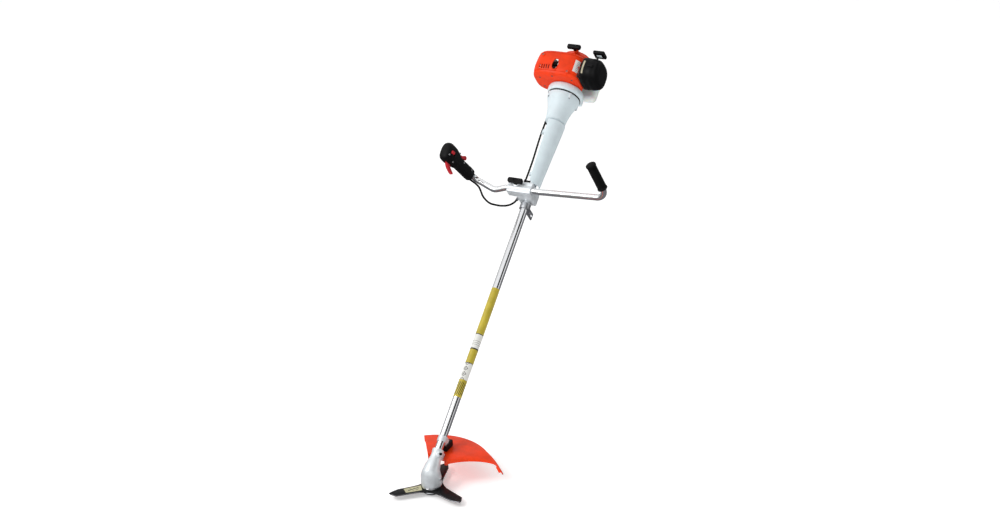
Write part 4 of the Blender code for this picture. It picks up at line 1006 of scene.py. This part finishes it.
def make_left_grip():
    """A ribbed rubber sleeve with a collar at its foot and a rounded bulb at its end."""
    way = (LEFT_GRIP_END - LEFT_BEND).normalized()
    length = (LEFT_GRIP_END - LEFT_BEND).length
    start, reach = 41, length + 10  # where the sleeve starts and ends along the bar's last stretch
    outside = [
        (start, BAR_RADIUS + 0.8), (start, 16.5), (start + 2, 18.5), (start + 6, 18.6), (start + 9, 16.2),
    ]
    low = start + 12
    while low < reach - 20:
        outside += [(low, 15.9), (low + 0.8, 16.9), (low + 3.4, 17.2), (low + 4.2, 15.9)]
        low += 5.4
    bulb = [(15, 16.4), (12, 18.4), (8, 19), (4, 18.2), (1, 14), (0, 8), (0, 0)]
    outside += [(reach - back, radius) for back, radius in bulb]
    bore = [(length + 1, 0), (length + 1, BAR_RADIUS + 0.8)]
    grip = turned([*bore, *outside], steps=72)
    place = TUBE @ Matrix.Translation(LEFT_BEND) @ towards(way).to_4x4()
    show("left_grip_ribbed", grip, "black_rubber", "handlebar", place, ["left_grip"])


# Throttle handle -------------------------------------------------------------------------------------

HANDLE_SECTIONS = [  # height, half width, half depth, middle of the depth
    (28, 14, 19.5, -4), (30, 15.5, 21, -4), (36, 17, 22.5, -4), (74, 16.6, 22.6, -4), (112, 17, 23, -4),
    (130, 19, 29, -3), (150, 22, 34, -2), (166, 23.6, 35.6, -2), (180, 24, 36, -2), (192, 22.8, 34.6, -2),
    (199, 19, 30.5, -2), (203, 12, 23, -2),
]
CAVITY_SECTIONS = [
    (113, 14, 18, -3), (132, 16, 26, -3), (150, 19, 31, -2), (180, 21, 33, -2), (195, 18, 29, -2),
]


def handle_loft(sections, per_gap=6, ribs=0.0):
    """Loops up the handle; ribs is the height of the finger ribs round its lower part."""
    loops = []
    for height, half_x, half_y, middle in curve_through(sections, per_gap):
        grip = 1.0 if 42 < height < 108 else 0.0
        wave = ribs * grip * (0.5 - 0.5 * math.cos(2 * math.pi * (height - 42) / 11))
        loop = oval(0, 0, half_x + wave, half_y + wave, 0, 2.6, 56)
        loops.append([Vector((p.x, p.z + middle, height)) for p in loop])
    return loft(loops)


def make_throttle_housing():
    """Two moulded halves that meet along the handle's middle."""
    for name, side in (("throttle_housing_inner", 1), ("throttle_housing_outer", -1)):
        half = block((-60, -80, 0), (0.3, 80, 260)) if side > 0 else block((-0.3, -80, 0), (60, 80, 260))
        cuts = [
            handle_loft(CAVITY_SECTIONS, 3),
            rod(BAR_RADIUS + SLIDE, 0, 120, steps=40),
            rod(5, 0, 130, place=(0, CABLE_CHANNEL, 0)),
            block((-6.3, -70, 126), (6.3, -12, 182)),
            block((-5, 14, 80), (5, 60, 134)),
            block((15, -9, 166), (40, 5, 190)),
            half,
        ]
        shape = carve(handle_loft(HANDLE_SECTIONS, 8, 0.7), cutters=cuts)
        show(f"{name}_moulded", shape, "black_plastic", "handlebar", HANDLE, [name])
    seats = [(17, 6, 48), (17, 6, 100), (20.5, 20, 140), (22.8, -16, 192), (21, -28, 160)]
    screws = [((x - 1.2, y, z), (1, 0, 0), 3.4, 2) for x, y, z in seats]
    show_screws("throttle_housing_screws", screws, body="handlebar", place=HANDLE)


def show_lever(name, outline, half_width, pin, half_pin, body, node):
    """A flat lever drawn in the handle's y and z, with rounded rims, and the pin that it turns on."""
    turn = Matrix(((0, 0, 1), (1, 0, 0), (0, 1, 0)))
    smooth = [(y - pin[0], z - pin[1]) for y, z in outline]
    smooth = [(p.x, p.y) for p in curve_through(smooth, 4, closed=True)]
    plate = moved(prism(smooth, -half_width, half_width, 1.6), turn=turn)
    shape = carve(plate, unions=[rod(2.6, -half_pin, half_pin, "X")])
    show(name, shape, "red_plastic", body, HANDLE @ Matrix.Translation((0, *pin)), [node])


def make_triggers():
    trigger = [
        (-9, 173), (-24, 177), (-40, 170), (-51, 156), (-57, 139), (-59, 127), (-54, 124), (-49, 132),
        (-43, 145),
        (-35, 154), (-24, 158), (-9, 160),
    ]
    show_lever("throttle_trigger_moulded", trigger, 5.7, TRIGGER_PIN, 17, "trigger", "throttle_trigger")
    lockout = [
        (12, 130), (22, 130), (27, 118), (31, 104), (37, 96), (39, 88), (34, 82), (25, 84), (22, 96),
        (19, 110),
        (12, 118),
    ]
    show_lever("lockout_moulded", lockout, 4.4, LOCKOUT_PIN, 4.8, "lockout", "trigger_lockout")


def make_stop_switch():
    slide = block((-5, -5, -7), (4.6, 5, 7), 1.2)
    grips = [block((4, -4.4, k * 2.6 - 0.7), (6, 4.4, k * 2.6 + 0.7), 0.5, 2) for k in (-2, -1, 0, 1, 2)]
    place = HANDLE @ Matrix.Translation((23, -2, 181))
    show("stop_slide", carve(slide, unions=grips), "red_plastic", "stop_switch", place, ["stop_switch"])


# Throttle cable --------------------------------------------------------------------------------------


def on_tube(point):
    """A point of the handle's frame, in the tube frame."""
    return TUBE.inverted() @ HANDLE @ Vector(point)


def make_cable():
    """Its free loop hangs from the handle's foot to a guide at the clamp; the rest is clipped to the tube."""
    loop = [
        on_tube((0, CABLE_CHANNEL, 46)), on_tube((0, CABLE_CHANNEL, 28)), (-181, 1079, 48), (-158, 1050, 32),
        (-130, 1031, 27), (-104, 1027, 24), (-78, 1028, 22), (-56, 1036, 18), (-42, 1052, 12), CLAMP_GUIDE,
    ]
    path = curve_through(loop, 8)
    piece = show("cable_loop", swept(path, CABLE_RADIUS, steps=20), "black_rubber", None)
    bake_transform(piece)
    run = [
        CLAMP_GUIDE + Vector((0, 0.5, 0)), (-35, 1110, 3), (-34, 1160, 0), (-34, 1240, 0), (-38, 1330, 0),
        (-41, 1390, -6), (-48, 1435, -20), (-51, 1466, -42), (-57, 1490, -54), (-61, 1520, -62),
        (-58, 1545, -52),
        (-42, 1556, -45), (-12, 1560, -44.5), (20, 1560, -44), (40, 1560, -32), (47, 1562, -8),
        (52, 1563, 20),
        (54, 1564, 34),
    ]
    sheath = swept(curve_through(run, 6), CABLE_RADIUS, steps=20)
    show("cable_run", sheath, "black_rubber", stands_for=["throttle_cable"])
    guide = turned(eased([(-9, 3.6), (-9, 5.4), (9, 6), (9, 3.6)], 0.7), steps=SMALL_ROUND)
    ferrule = turned(eased([(0, 1), (0, 3.2), (7, 3.2), (8, 2), (8, 1)], 0.4), steps=SMALL_ROUND)
    fittings = [
        moved(guide, CLAMP_GUIDE, towards((0.1, 0.95, -0.2))),
        moved(ferrule, run[-1], towards((0.1, 0.05, 1))),
    ]
    show("cable_ferrules", joined(*fittings), "steel")


def make_cable_clips():
    """Rings round the cable; the two near the handle's support are tied to bands round the tube."""
    clips = []
    for place in ((-35, 1120, 2.5), (-34.1, 1150, 0.8), (-38.8, 1404, -15.5)):
        clips.append(moved(ring(CABLE_RADIUS, 5.2, -4, 4, steps=SMALL_ROUND, ease=0.5), place))
    for y in (1120, 1150):
        clips.append(ring(TUBE_RADIUS, 15.6, y - 4, y + 4, ease=0.5))
        clips.append(block((-31.5, y - 3.5, -1.6), (-14.6, y + 3.5, 1.6), 0.6, 2))
    show("cable_clips", joined(*clips), "black_plastic")


# Hip pad and carrying clamp --------------------------------------------------------------------------


def make_hip_pad():
    """A moulded shield that widens towards the engine, with a rolled edge, on two saddles."""
    rows = []
    for i in range(61):
        share = i / 60
        y = PAD_START + PAD_LENGTH * share
        radius = 25 + 13 * share
        low, high = -62 - 10 * share, 104 + 2 * share
        spread_out = math.sin(math.pi / 2 * min(1.0, share / 0.12 + 0.35))
        row = []
        for k in range(33):
            across = k / 16 - 1
            turn = math.radians((low + high) / 2 + (high - low) / 2 * spread_out * across)
            lip = 1.3 * max(0.0, (abs(across) - 0.9) / 0.1) ** 2
            row.append(Vector(((radius - lip) * math.cos(turn), y, (radius - lip) * math.sin(turn))))
        rows.append(row)
    show("hip_pad_shield", shell(rows, 3), "light_plastic", stands_for=["hip_pad"])
    saddles = []
    for y in (1175, 1350):
        saddle = ring(14.2, 23 + 13 * (y - PAD_START) / PAD_LENGTH, y - 7, y + 7)
        wedge = block((-60, y - 20, -60), (-6, y + 20, 8))
        saddles.append(carve(saddle, cutters=[wedge]))
    show("hip_pad_saddles", joined(*saddles), "light_plastic")


def make_carrying_clamp():
    collar = ring(14.2, 19, 1036, 1060, ease=1.0)
    plate = block((-3, 1035, -78), (3, 1061, -16), 2)
    eyes = [rod(8, -20, 20, "X", ROUND, (0, 1048, -64)), rod(4, -20, 20, "X", SMALL_ROUND, (0, 1048, -46))]
    shape = carve(collar, unions=[plate], cutters=eyes)
    show("carrying_clamp_pressed", shape, "steel", stands_for=["carrying_clamp"])
    show_screws("carrying_clamp_screw", [((side * 3, 1048, -26), (side, 0, 0), 4.6, 3.2) for side in (1, -1)])


# Clutch, fan and crankcase ---------------------------------------------------------------------------


def make_bell():
    """The clutch's bell: a smooth cone with a pinch collar at its neck and bosses round its mouth."""
    outside = curve_through([(1404, 38), (1425, 40), (1452, 45), (1474, 52), (1492, 58), (1503, 59.8)], 5)
    profile = [(1398, 14.3), (1398, 32), (1399.5, 34.5), *[(p.x, p.y) for p in outside]]
    profile += [(1506.8, 60), (1506.8, 54)]
    profile += [(1490, 52), (1472, 46), (1458, 38), (1456, 14.3)]
    bell = turned(profile, "Y", 120)
    bosses = [rod(6, 1488, 1506.5, "Y", place=(x, 0, z)) for x, z in on_circle(57)]
    collar = ring(30, 37.6, 1400, 1402, ease=0.4)
    shape = carve(bell, unions=[*bosses, collar], cutters=[block((-0.8, 1390, -60), (0.8, 1440, -10))])
    show("clutch_bell", shape, "light_plastic", stands_for=["clutch_housing"])
    screws = [((x, 1488, z), (0, -1, 0), 3.8, 2.6) for x, z in on_circle(57)]
    show_screws("bell_screws", [*screws, ((12, 1412, -37), (1, 0, -0.3), 4.2, 5)])
    seal = ring(53.5, 61.5, 1507.3, 1512, steps=120, ease=1.4)
    show("engine_seal", seal, "black_rubber", stands_for=["rubber_ring"])


def make_fan_housing():
    """A shallow drum with ribs round it and two feet."""
    outside = [(1512.3, 57), (1512.3, 61), (1514, 63.4), (1519, 66), (1535, 66), (1539, 64), (1541, 61)]
    drum = turned([*outside, (1541, 12), (1537.5, 12), (1537.5, 57)], "Y", 120)
    ribs = []
    for i in range(24):
        rib = block((64.5, 1520, -1.1), (66.8, 1535, 1.1), 0.6, 2)
        ribs.append(moved(rib, turn=Matrix.Rotation(2 * math.pi * i / 24, 4, "Y")))
    feet = [block((side * 40 - 9, 1516, -66), (side * 40 + 9, 1540, -46), 4) for side in (1, -1)]
    show("fan_volute", carve(drum, unions=feet), "light_plastic", stands_for=["fan_housing"])
    show("fan_volute_ribs", joined(*ribs), "light_plastic")


def make_crankcase():
    """Two castings that meet on the cylinder's centre plane, with a joint flange and cooling ribs."""
    mouth, end = CRANK_Y - 48.5, CRANK_Y + 48
    halves = (("crankcase_front", 1530, CRANK_Y - 0.2), ("crankcase_rear", CRANK_Y + 0.2, 1650))
    for name, low, high in halves:
        outline = [(mouth, 0), (mouth, 35), (mouth + 1.5, 36), (end - 2, 36), (end, 34), (end, 0)]
        barrel = turned(eased(outline, 0.8), "Y", 80)
        deck = block((-27, CRANK_Y - 27, 0), (27, CRANK_Y + 27, 40))
        flange = ring(20, 39, CRANK_Y - 4, CRANK_Y + 4, steps=80, ease=0.8)
        ribs = [ring(20, 38, y - 1, y + 1, steps=80, ease=0) for y in (1556, 1566, 1614, 1624)]
        cuts = [
            rod(29, CRANK_Y - 19, CRANK_Y + 19, "Y", ROUND), rod(6.3, 1500, 1700, "Y", ROUND),
            rod(18.4, 0, 60, steps=ROUND, place=(0, CRANK_Y, 0)),
            block((-60, 1500, -60), (60, low, 60)), block((-60, high, -60), (60, 1700, 60)),
        ]
        shape = carve(barrel, unions=[deck, flange, *ribs], cutters=cuts)
        show(f"{name}_cast", shape, "cast_alloy", stands_for=[name])


def make_cylinder():
    """A finned barrel; the spark plug's boss leans to the operator's right."""
    fins = [(45, 27), (46.5, 22)]
    for i in range(6):
        low = 50.5 + 5.4 * i
        fins += [(low, 22), (low + 0.3, 35.6), (low + 1.0, 36), (low + 1.7, 35.6), (low + 2.2, 22)]
    profile = [(81.5, 0), (81.5, 18), (40.3, 18), (40.3, 27), *fins, (85, 22), (86, 14), (86, 0)]
    boss = moved(rod(8, -12, 8), PLUG_SEAT, towards(PLUG_AXIS))
    hole = moved(rod(5.3, -10, 20), PLUG_SEAT, towards(PLUG_AXIS))
    place = TUBE @ Matrix.Translation((0, CRANK_Y, 0))
    shape = carve(turned(profile, steps=72), unions=[boss], cutters=[hole])
    show("cylinder_finned", shape, "cast_alloy", place=place, stands_for=["cylinder"])


def make_spark_plug():
    """The plug and, over its end, a rubber boot with rings round its mouth."""
    place = TUBE @ Matrix.Translation((0, CRANK_Y, 0)) @ Matrix.Translation(PLUG_SEAT)
    seat = place @ towards(PLUG_AXIS).to_4x4()
    thread, hexagon = [(-9, 0), (-9, 5), (8.4, 5)], [(8.4, 7.6), (9, 8), (14.4, 8), (15, 7.6)]
    insulator = [(15, 5), (30, 4), (30, 2.5), (36, 2.5), (36, 0)]
    plug_body = turned([*thread, *hexagon, *insulator], steps=36)
    show("spark_plug_turned", plug_body, "steel", place=seat, stands_for=["spark_plug"])
    hollow = [(37, 0), (37, 3), (30.4, 3), (30.4, 5.4), (17, 5.4)]
    rings = [(17, 8), (19, 8.6), (21, 8), (23, 8.6), (25, 8)]
    boot = [*hollow, *rings, (27, 8.8), (40, 9), (44, 8.4), (46, 6), (46.6, 0)]
    show("plug_boot", turned(boot, steps=36), "black_rubber", place=seat, stands_for=["spark_plug_boot"])


def make_muffler():
    """Two pressed shells with a rolled seam, louvres on the outer one and a stub for the exhaust."""
    body = block((-104, 1556, 2), (-44, 1630, 68), 9, 5)
    seam = block((-76, 1554.4, 0.6), (-73, 1631.6, 69.4), 1.4, 3)
    louvres = [block((-105.5, 1568, z), (-102, 1618, z + 3), 1.2, 2) for z in (34, 42, 50)]
    port = rod(8, -60, -36.6, "X", place=(0, CRANK_Y, 36))
    outlet = moved(ring(6, 8, -111, -98, "X"), EXHAUST)
    bore = rod(6, -120, -90, "X", place=EXHAUST)
    shape = carve(body, unions=[seam, *louvres, port, outlet], cutters=[bore])
    show("muffler_pressed", shape, "dark_steel", stands_for=["muffler"])


# Fuel, air and covers --------------------------------------------------------------------------------


def make_carburetor():
    body = block((46, 1576, 42), (68, 1606, 70), 2.4)
    bowl = rod(11, 38, 46, place=(57, 1591, 0))
    top = block((48, 1579, 68), (66, 1603, 72), 1)
    flange = block((43.5, 1570, 46), (47, 1612, 66), 1.4)
    spigot = rod(9, 36.6, 50, "X", place=(0, CRANK_Y, 56))
    bores = [rod(6, 30, 80, "X", place=(0, CRANK_Y, 56)), rod(2.3, 1560, 1584.5, "Y", place=(57, 0, 46))]
    shape = carve(body, unions=[bowl, top, flange, spigot], cutters=bores)
    show("carburetor_cast", shape, "cast_alloy", stands_for=["carburetor"])
    heads = [((x, y, 72), (0, 0, 1), 1.9, 1.2) for x in (51, 63) for y in (1582, 1600)]
    show_screws("carburetor_screws", heads)


def cover_loops(grow, start, end, ribs=0.0, count=30):
    """Rounded loops square to x for the air filter's cover, with shallow ribs running over it."""
    loops = []
    for i in range(count + 1):
        share = i / count
        x = start + (end - start) * math.sin(share * math.pi / 2)
        shrink = math.sqrt(max(0.0, 1 - (share * 0.93) ** 3.2))
        ridge = ribs * (0.5 - 0.5 * math.cos(2 * math.pi * share * 4)) * (1 - share)
        half_z, half_y = (60 + grow) * shrink + ridge, (50 + grow) * shrink + ridge
        loop = oval(FILTER_Z, FILTER_Y, half_z, half_y, 0, 2.7, 80)
        loops.append([Vector((x, p.z, p.x)) for p in loop])
    return loft(loops)


def make_filter_cover():
    stalk = rod(4.3, 1615, 1660, "Y", place=(CHOKE_PIVOT[0], 0, CHOKE_PIVOT[2]))
    rim = [Vector((74.5, p.z, p.x)) for p in oval(FILTER_Z, FILTER_Y, 60.5, 50.5, 0, 2.7, 80)]
    lip = loft([[p + Vector((shift, 0, 0)) for p in rim] for shift in (-3.5, 3.5)])
    shape = carve(cover_loops(0, 71, 139, 1.6), unions=[lip], cutters=[cover_loops(-3, 70, 136), stalk])
    show("filter_cover_moulded", shape, "black_plastic", stands_for=["air_filter_cover"])
    latch = block((96, 1592, 99), (118, 1602, 104.5), 2)
    show("filter_cover_latch", latch, "black_plastic")
    strip = []
    for y in range(1566, 1617, 5):
        half = 60.6 * (1 - (abs(y - FILTER_Y) / 50.6) ** 2.7) ** (1 / 2.7)
        strip.append([Vector((x, y, FILTER_Z + half + 0.55)) for x in (77.5, 83.5)])
    show("filter_seal_strip", shell(strip, -0.5), "filter_felt")


def make_choke():
    """A black block with a pale panel let into it, on a short stalk."""
    hub = ring(0, 8.6, -8, 6, ease=1.2)
    flag = block((-13, -9, -9), (31, 4, 31), 3.6, 4)
    stalk = rod(3.5, -42, -6, "Y")
    window = block((-1, -10, 3), (19, -8.2, 19), 0.6, 2)
    place = TUBE @ Matrix.Translation(CHOKE_PIVOT)
    shape = carve(hub, unions=[flag, stalk], cutters=[window])
    show("choke_lever_moulded", shape, "black_plastic", "choke_lever", place, ["choke_lever"])
    inlay = block((-0.7, -8.9, 3.3), (18.7, -8.0, 18.7), 0.3, 2)
    show("choke_lever_inlay", inlay, "light_plastic", "choke_lever", place)


def make_fuel_tank():
    """A blow-moulded tank with a parting line round its middle and a filler neck."""
    body = block((-84, 1546, -94), (88, 1638, -51), 17, 8)
    neck = ring(10, 15, 1626, 1653.5, ease=0.8)
    rings = [ring(12, 15.8, y - 0.6, y + 0.6, ease=0) for y in (1646, 1650)]
    hollow = block((-81, 1549, -91), (85, 1635, -54), 14)
    bore = rod(12, 1620, 1660, "Y", ROUND, TANK_NECK)
    shape = carve(body, unions=[moved(part, TANK_NECK) for part in (neck, *rings)], cutters=[hollow, bore])
    show("fuel_tank_blown", shape, "tank_plastic", stands_for=["fuel_tank"])
    rim = []
    for sign_x, sign_y in ((1, 1), (-1, 1), (-1, -1), (1, -1)):
        steps = range(9) if sign_x * sign_y > 0 else range(8, -1, -1)
        for i in steps:
            turn = math.pi / 2 * i / 8
            x, y = 69.4 + 17.2 * math.cos(turn), 29.4 + 17.2 * math.sin(turn)
            rim.append((2 + sign_x * x, 1592 + sign_y * y))
    show("fuel_tank_seam", prism(rim, -73.2, -71.8, 0.3), "tank_plastic")


def make_fuel_cap():
    """A knurled cap with a bar across it."""
    outline = []
    for i in range(96):
        turn = 2 * math.pi * i / 96
        reach = 17.6 + 0.5 * math.cos(24 * turn)
        outline.append((reach * math.cos(turn), reach * math.sin(turn)))
    crown = moved(prism(outline, 0.5, 9, 0.8), turn=AXIS_TURNS["Y"])
    stem = rod(11.5, -9, 2, "Y", ROUND)
    bar = block((-14, 6, -3), (14, 13.6, 3), 1.4)
    place = TUBE @ Matrix.Translation((TANK_NECK[0], 1654, TANK_NECK[2]))
    shape = carve(crown, unions=[stem, bar])
    show("fuel_cap_knurled", shape, "black_plastic", "fuel_cap", place, ["fuel_cap"])


def make_machine_support():
    """A black foot under the tank, arched in its middle, with treads on both sides."""
    foot = block((-52, 1566, -112), (52, 1632, -94.6), 4)
    arch = block((-36, 1550, -120), (36, 1650, -104), 3)
    treads = []
    for side in (1, -1):
        for y in range(1572, 1626, 9):
            treads.append(block((side * 44 - 6, y, -113), (side * 44 + 6, y + 4, -110), 0.8, 2))
    shape = carve(foot, unions=treads, cutters=[arch])
    show("machine_foot", shape, "black_plastic", stands_for=["machine_support"])


SHROUD_STATIONS = [  # place along the tube, half width, half height, middle in x and z
    (1542, 80, 56, -24, 40), (1545, 86, 62, -24, 41), (1550, 90, 66, -24, 42), (1580, 93, 70, -25, 43),
    (1624, 91, 69, -24, 43), (1636, 87, 66.5, -22.6, 42.4), (1640, 83, 63, -22, 42),
]


def shroud_loops(grow, stations, seams=()):
    """Loops round the shroud. A seam is a place along the tube where a narrow groove runs round it."""
    loops = []
    rows = [tuple(row) for row in curve_through(stations, 4)]
    for seam in seams:
        near = min((abs(row[0] - seam), row) for row in rows)[1]
        for shift, depth in ((-1.5, 0), (-0.9, 1.3), (0.9, 1.3), (1.5, 0)):
            rows.append((seam + shift, near[1] - depth, near[2] - depth, near[3], near[4]))
        rows = [row for row in rows if row in rows[-4:] or abs(row[0] - seam) > 3]
    for y, half_x, half_z, middle_x, middle_z in sorted(rows):
        loops.append(oval(middle_x, middle_z, half_x + grow, half_z + grow, y, 3.4, 120))
    return loft(loops)


def make_shroud():
    """The orange cover over the cylinder and muffler, open below, behind and on the filter's side."""
    inner = [(1545.5, *SHROUD_STATIONS[0][1:]), *SHROUD_STATIONS[1:-1], (1660, *SHROUD_STATIONS[-1][1:])]
    longer = Matrix.Diagonal((1, 1.85, 1, 1))
    hole = moved(turned([(60, 0), (60, 12), (140, 12), (140, 0)]), turn=longer)
    brim = moved(turned(eased([(104, 10), (104, 15.4), (113.6, 14.6), (113.6, 10)], 1.2)), turn=longer)
    cuts = [
        shroud_loops(-3, inner), block((-150, 1500, -60), (150, 1700, -18)),
        block((-45, 1500, -60), (90, 1700, -5)),
        block((38, 1556, -60), (90, 1634, 86)), rod(42, 1500, 1560, "Y", ROUND),
        block((-29, 1500, -60), (29, 1560, 44)),
        moved(hole, SHROUD_WINDOW),
    ]
    for i in range(7):
        cuts.append(block((-130, 1562 + 9 * i, 8), (-100, 1566.5 + 9 * i, 62), 1, 2))
    for i in range(5):
        cuts.append(block((-84 + 9 * i, 1560, 100), (-80 + 9 * i, 1578, 130), 1, 2))
    seats = ((-84, 1618), (30, 1558))
    bosses = [rod(7, 96, 111.5, place=(x, y, 0)) for x, y in seats]
    body = shroud_loops(0, SHROUD_STATIONS, (1555, 1629))
    shape = carve(body, unions=[moved(brim, SHROUD_WINDOW), *bosses], cutters=cuts)
    show("engine_shroud_moulded", shape, "orange_plastic", stands_for=["engine_shroud"], sharp=28)
    heads = [((x, y, 111), (0, 0, 1), 3.8, 1.6) for x, y in seats]
    heads += [((x, 1542.5, z), (0, -1, 0), 3.8, 1.6) for x, z in ((-84, 72), (-84, 14), (44, 76), (-30, 91))]
    show_screws("engine_shroud_screws", heads, "dark_steel")
    strip = []
    for x in (46, 49, 52, 55, 58, 61):
        half = 69.6 * (1 - (abs(x + 24.5) / 92) ** 3.4) ** (1 / 3.4)
        strip.append([Vector((x, y, 43 + half + 0.4)) for y in (1566, 1578, 1590, 1602, 1614)])
    show("engine_shroud_label", shell(strip, 0.4), "label_paper")


# Starter ---------------------------------------------------------------------------------------------


def make_starter():
    """A domed orange cover with cooling slots round a flat middle, and the rope's outlet at its top."""
    dome = [(1641, 66), (1652, 64.8), (1664, 62), (1676, 54), (1684, 46), (1690, 34), (1694, 22)]
    inside = [(1690, 0), (1690, 21), (1681, 43), (1661, 59), (1641, 62)]
    profile = [*inside, *[(p.x, p.y) for p in curve_through(dome, 5)], (1694.6, 18), (1693, 16), (1693, 0)]
    cuts = [rod(4.3, 20, 90, place=ROPE_OUTLET)]
    for i in range(18):
        slot = block((28, 1660, -1.6), (52, 1700, 1.6), 0.8, 2)
        cuts.append(moved(slot, turn=Matrix.Rotation(2 * math.pi * i / 18 + 0.4, 4, "Y")))
    guide = moved(turned(eased([(48, 4.4), (48, 8.5), (80.8, 8.3), (80.8, 4.4)], 0.8)), ROPE_OUTLET)
    ears = [rod(7, 1641, 1652, "Y", place=(x, 0, z)) for x, z in on_circle(61)]
    shape = carve(turned(profile, "Y", 120), unions=[guide, *ears], cutters=cuts)
    show("starter_dome", shape, "orange_plastic", stands_for=["starter_cover"])
    show_screws("starter_screws", [((x, 1652, z), (0, 1, 0), 4, 2.6) for x, z in on_circle(61)], "dark_steel")


def make_starter_grip():
    """A T-shaped grip with finger hollows, and the rope that runs from its stub into the cover."""
    bar = block((-26, -9, 10), (26, 9, 27), 6, 6)
    hollows = [rod(14, -30, 30, "Y", ROUND, (side * 15, 0, 0)) for side in (1, -1)]
    stub = turned(eased([(0, 2.6), (0, 7), (14, 9), (14, 2.6)], 0.8), steps=SMALL_ROUND)
    x, y, _ = ROPE_OUTLET
    place = TUBE @ Matrix.Translation((x, y, GRIP_REST))
    shape = carve(bar, unions=[stub], cutters=hollows)
    show("starter_handle", shape, "black_plastic", "starter_grip", place, ["starter_grip"])
    rope = swept([(x, y, GRIP_REST - 20 + i * 0.6) for i in range(41)], 1.9, steps=14)
    piece = show("starter_rope", rope, "black_rubber", None)
    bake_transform(piece)


# Carried-over pieces ---------------------------------------------------------------------------------


def finish_inner_pieces():
    """The pieces that keep their own solids take the material of their slot."""
    slots = {row["node"]: row["material_slot"] for row in frame["record"]["subparts"]}
    for name, node in frame["nodes"].items():
        if node.hide_render:
            continue
        material = MATERIALS[slots[name]]
        for slot in node.material_slots:
            slot.material = material


def main():
    make_stage()
    MATERIALS.update(make_materials())
    makers = (
        make_cable, make_cable_clips, make_gearbox, make_gearbox_screws, make_cutter_stack, make_knife,
        make_guard, make_guard_bracket, make_tube, make_supports, make_wing_screw, make_bar, make_left_grip,
        make_throttle_housing, make_triggers, make_stop_switch, make_hip_pad, make_carrying_clamp, make_bell,
        make_fan_housing, make_crankcase, make_cylinder, make_spark_plug, make_muffler, make_carburetor,
        make_filter_cover, make_choke, make_fuel_tank, make_fuel_cap, make_machine_support, make_shroud,
        make_starter, make_starter_grip,
    )
    for make in makers:
        make()
    finish_inner_pieces()


main()
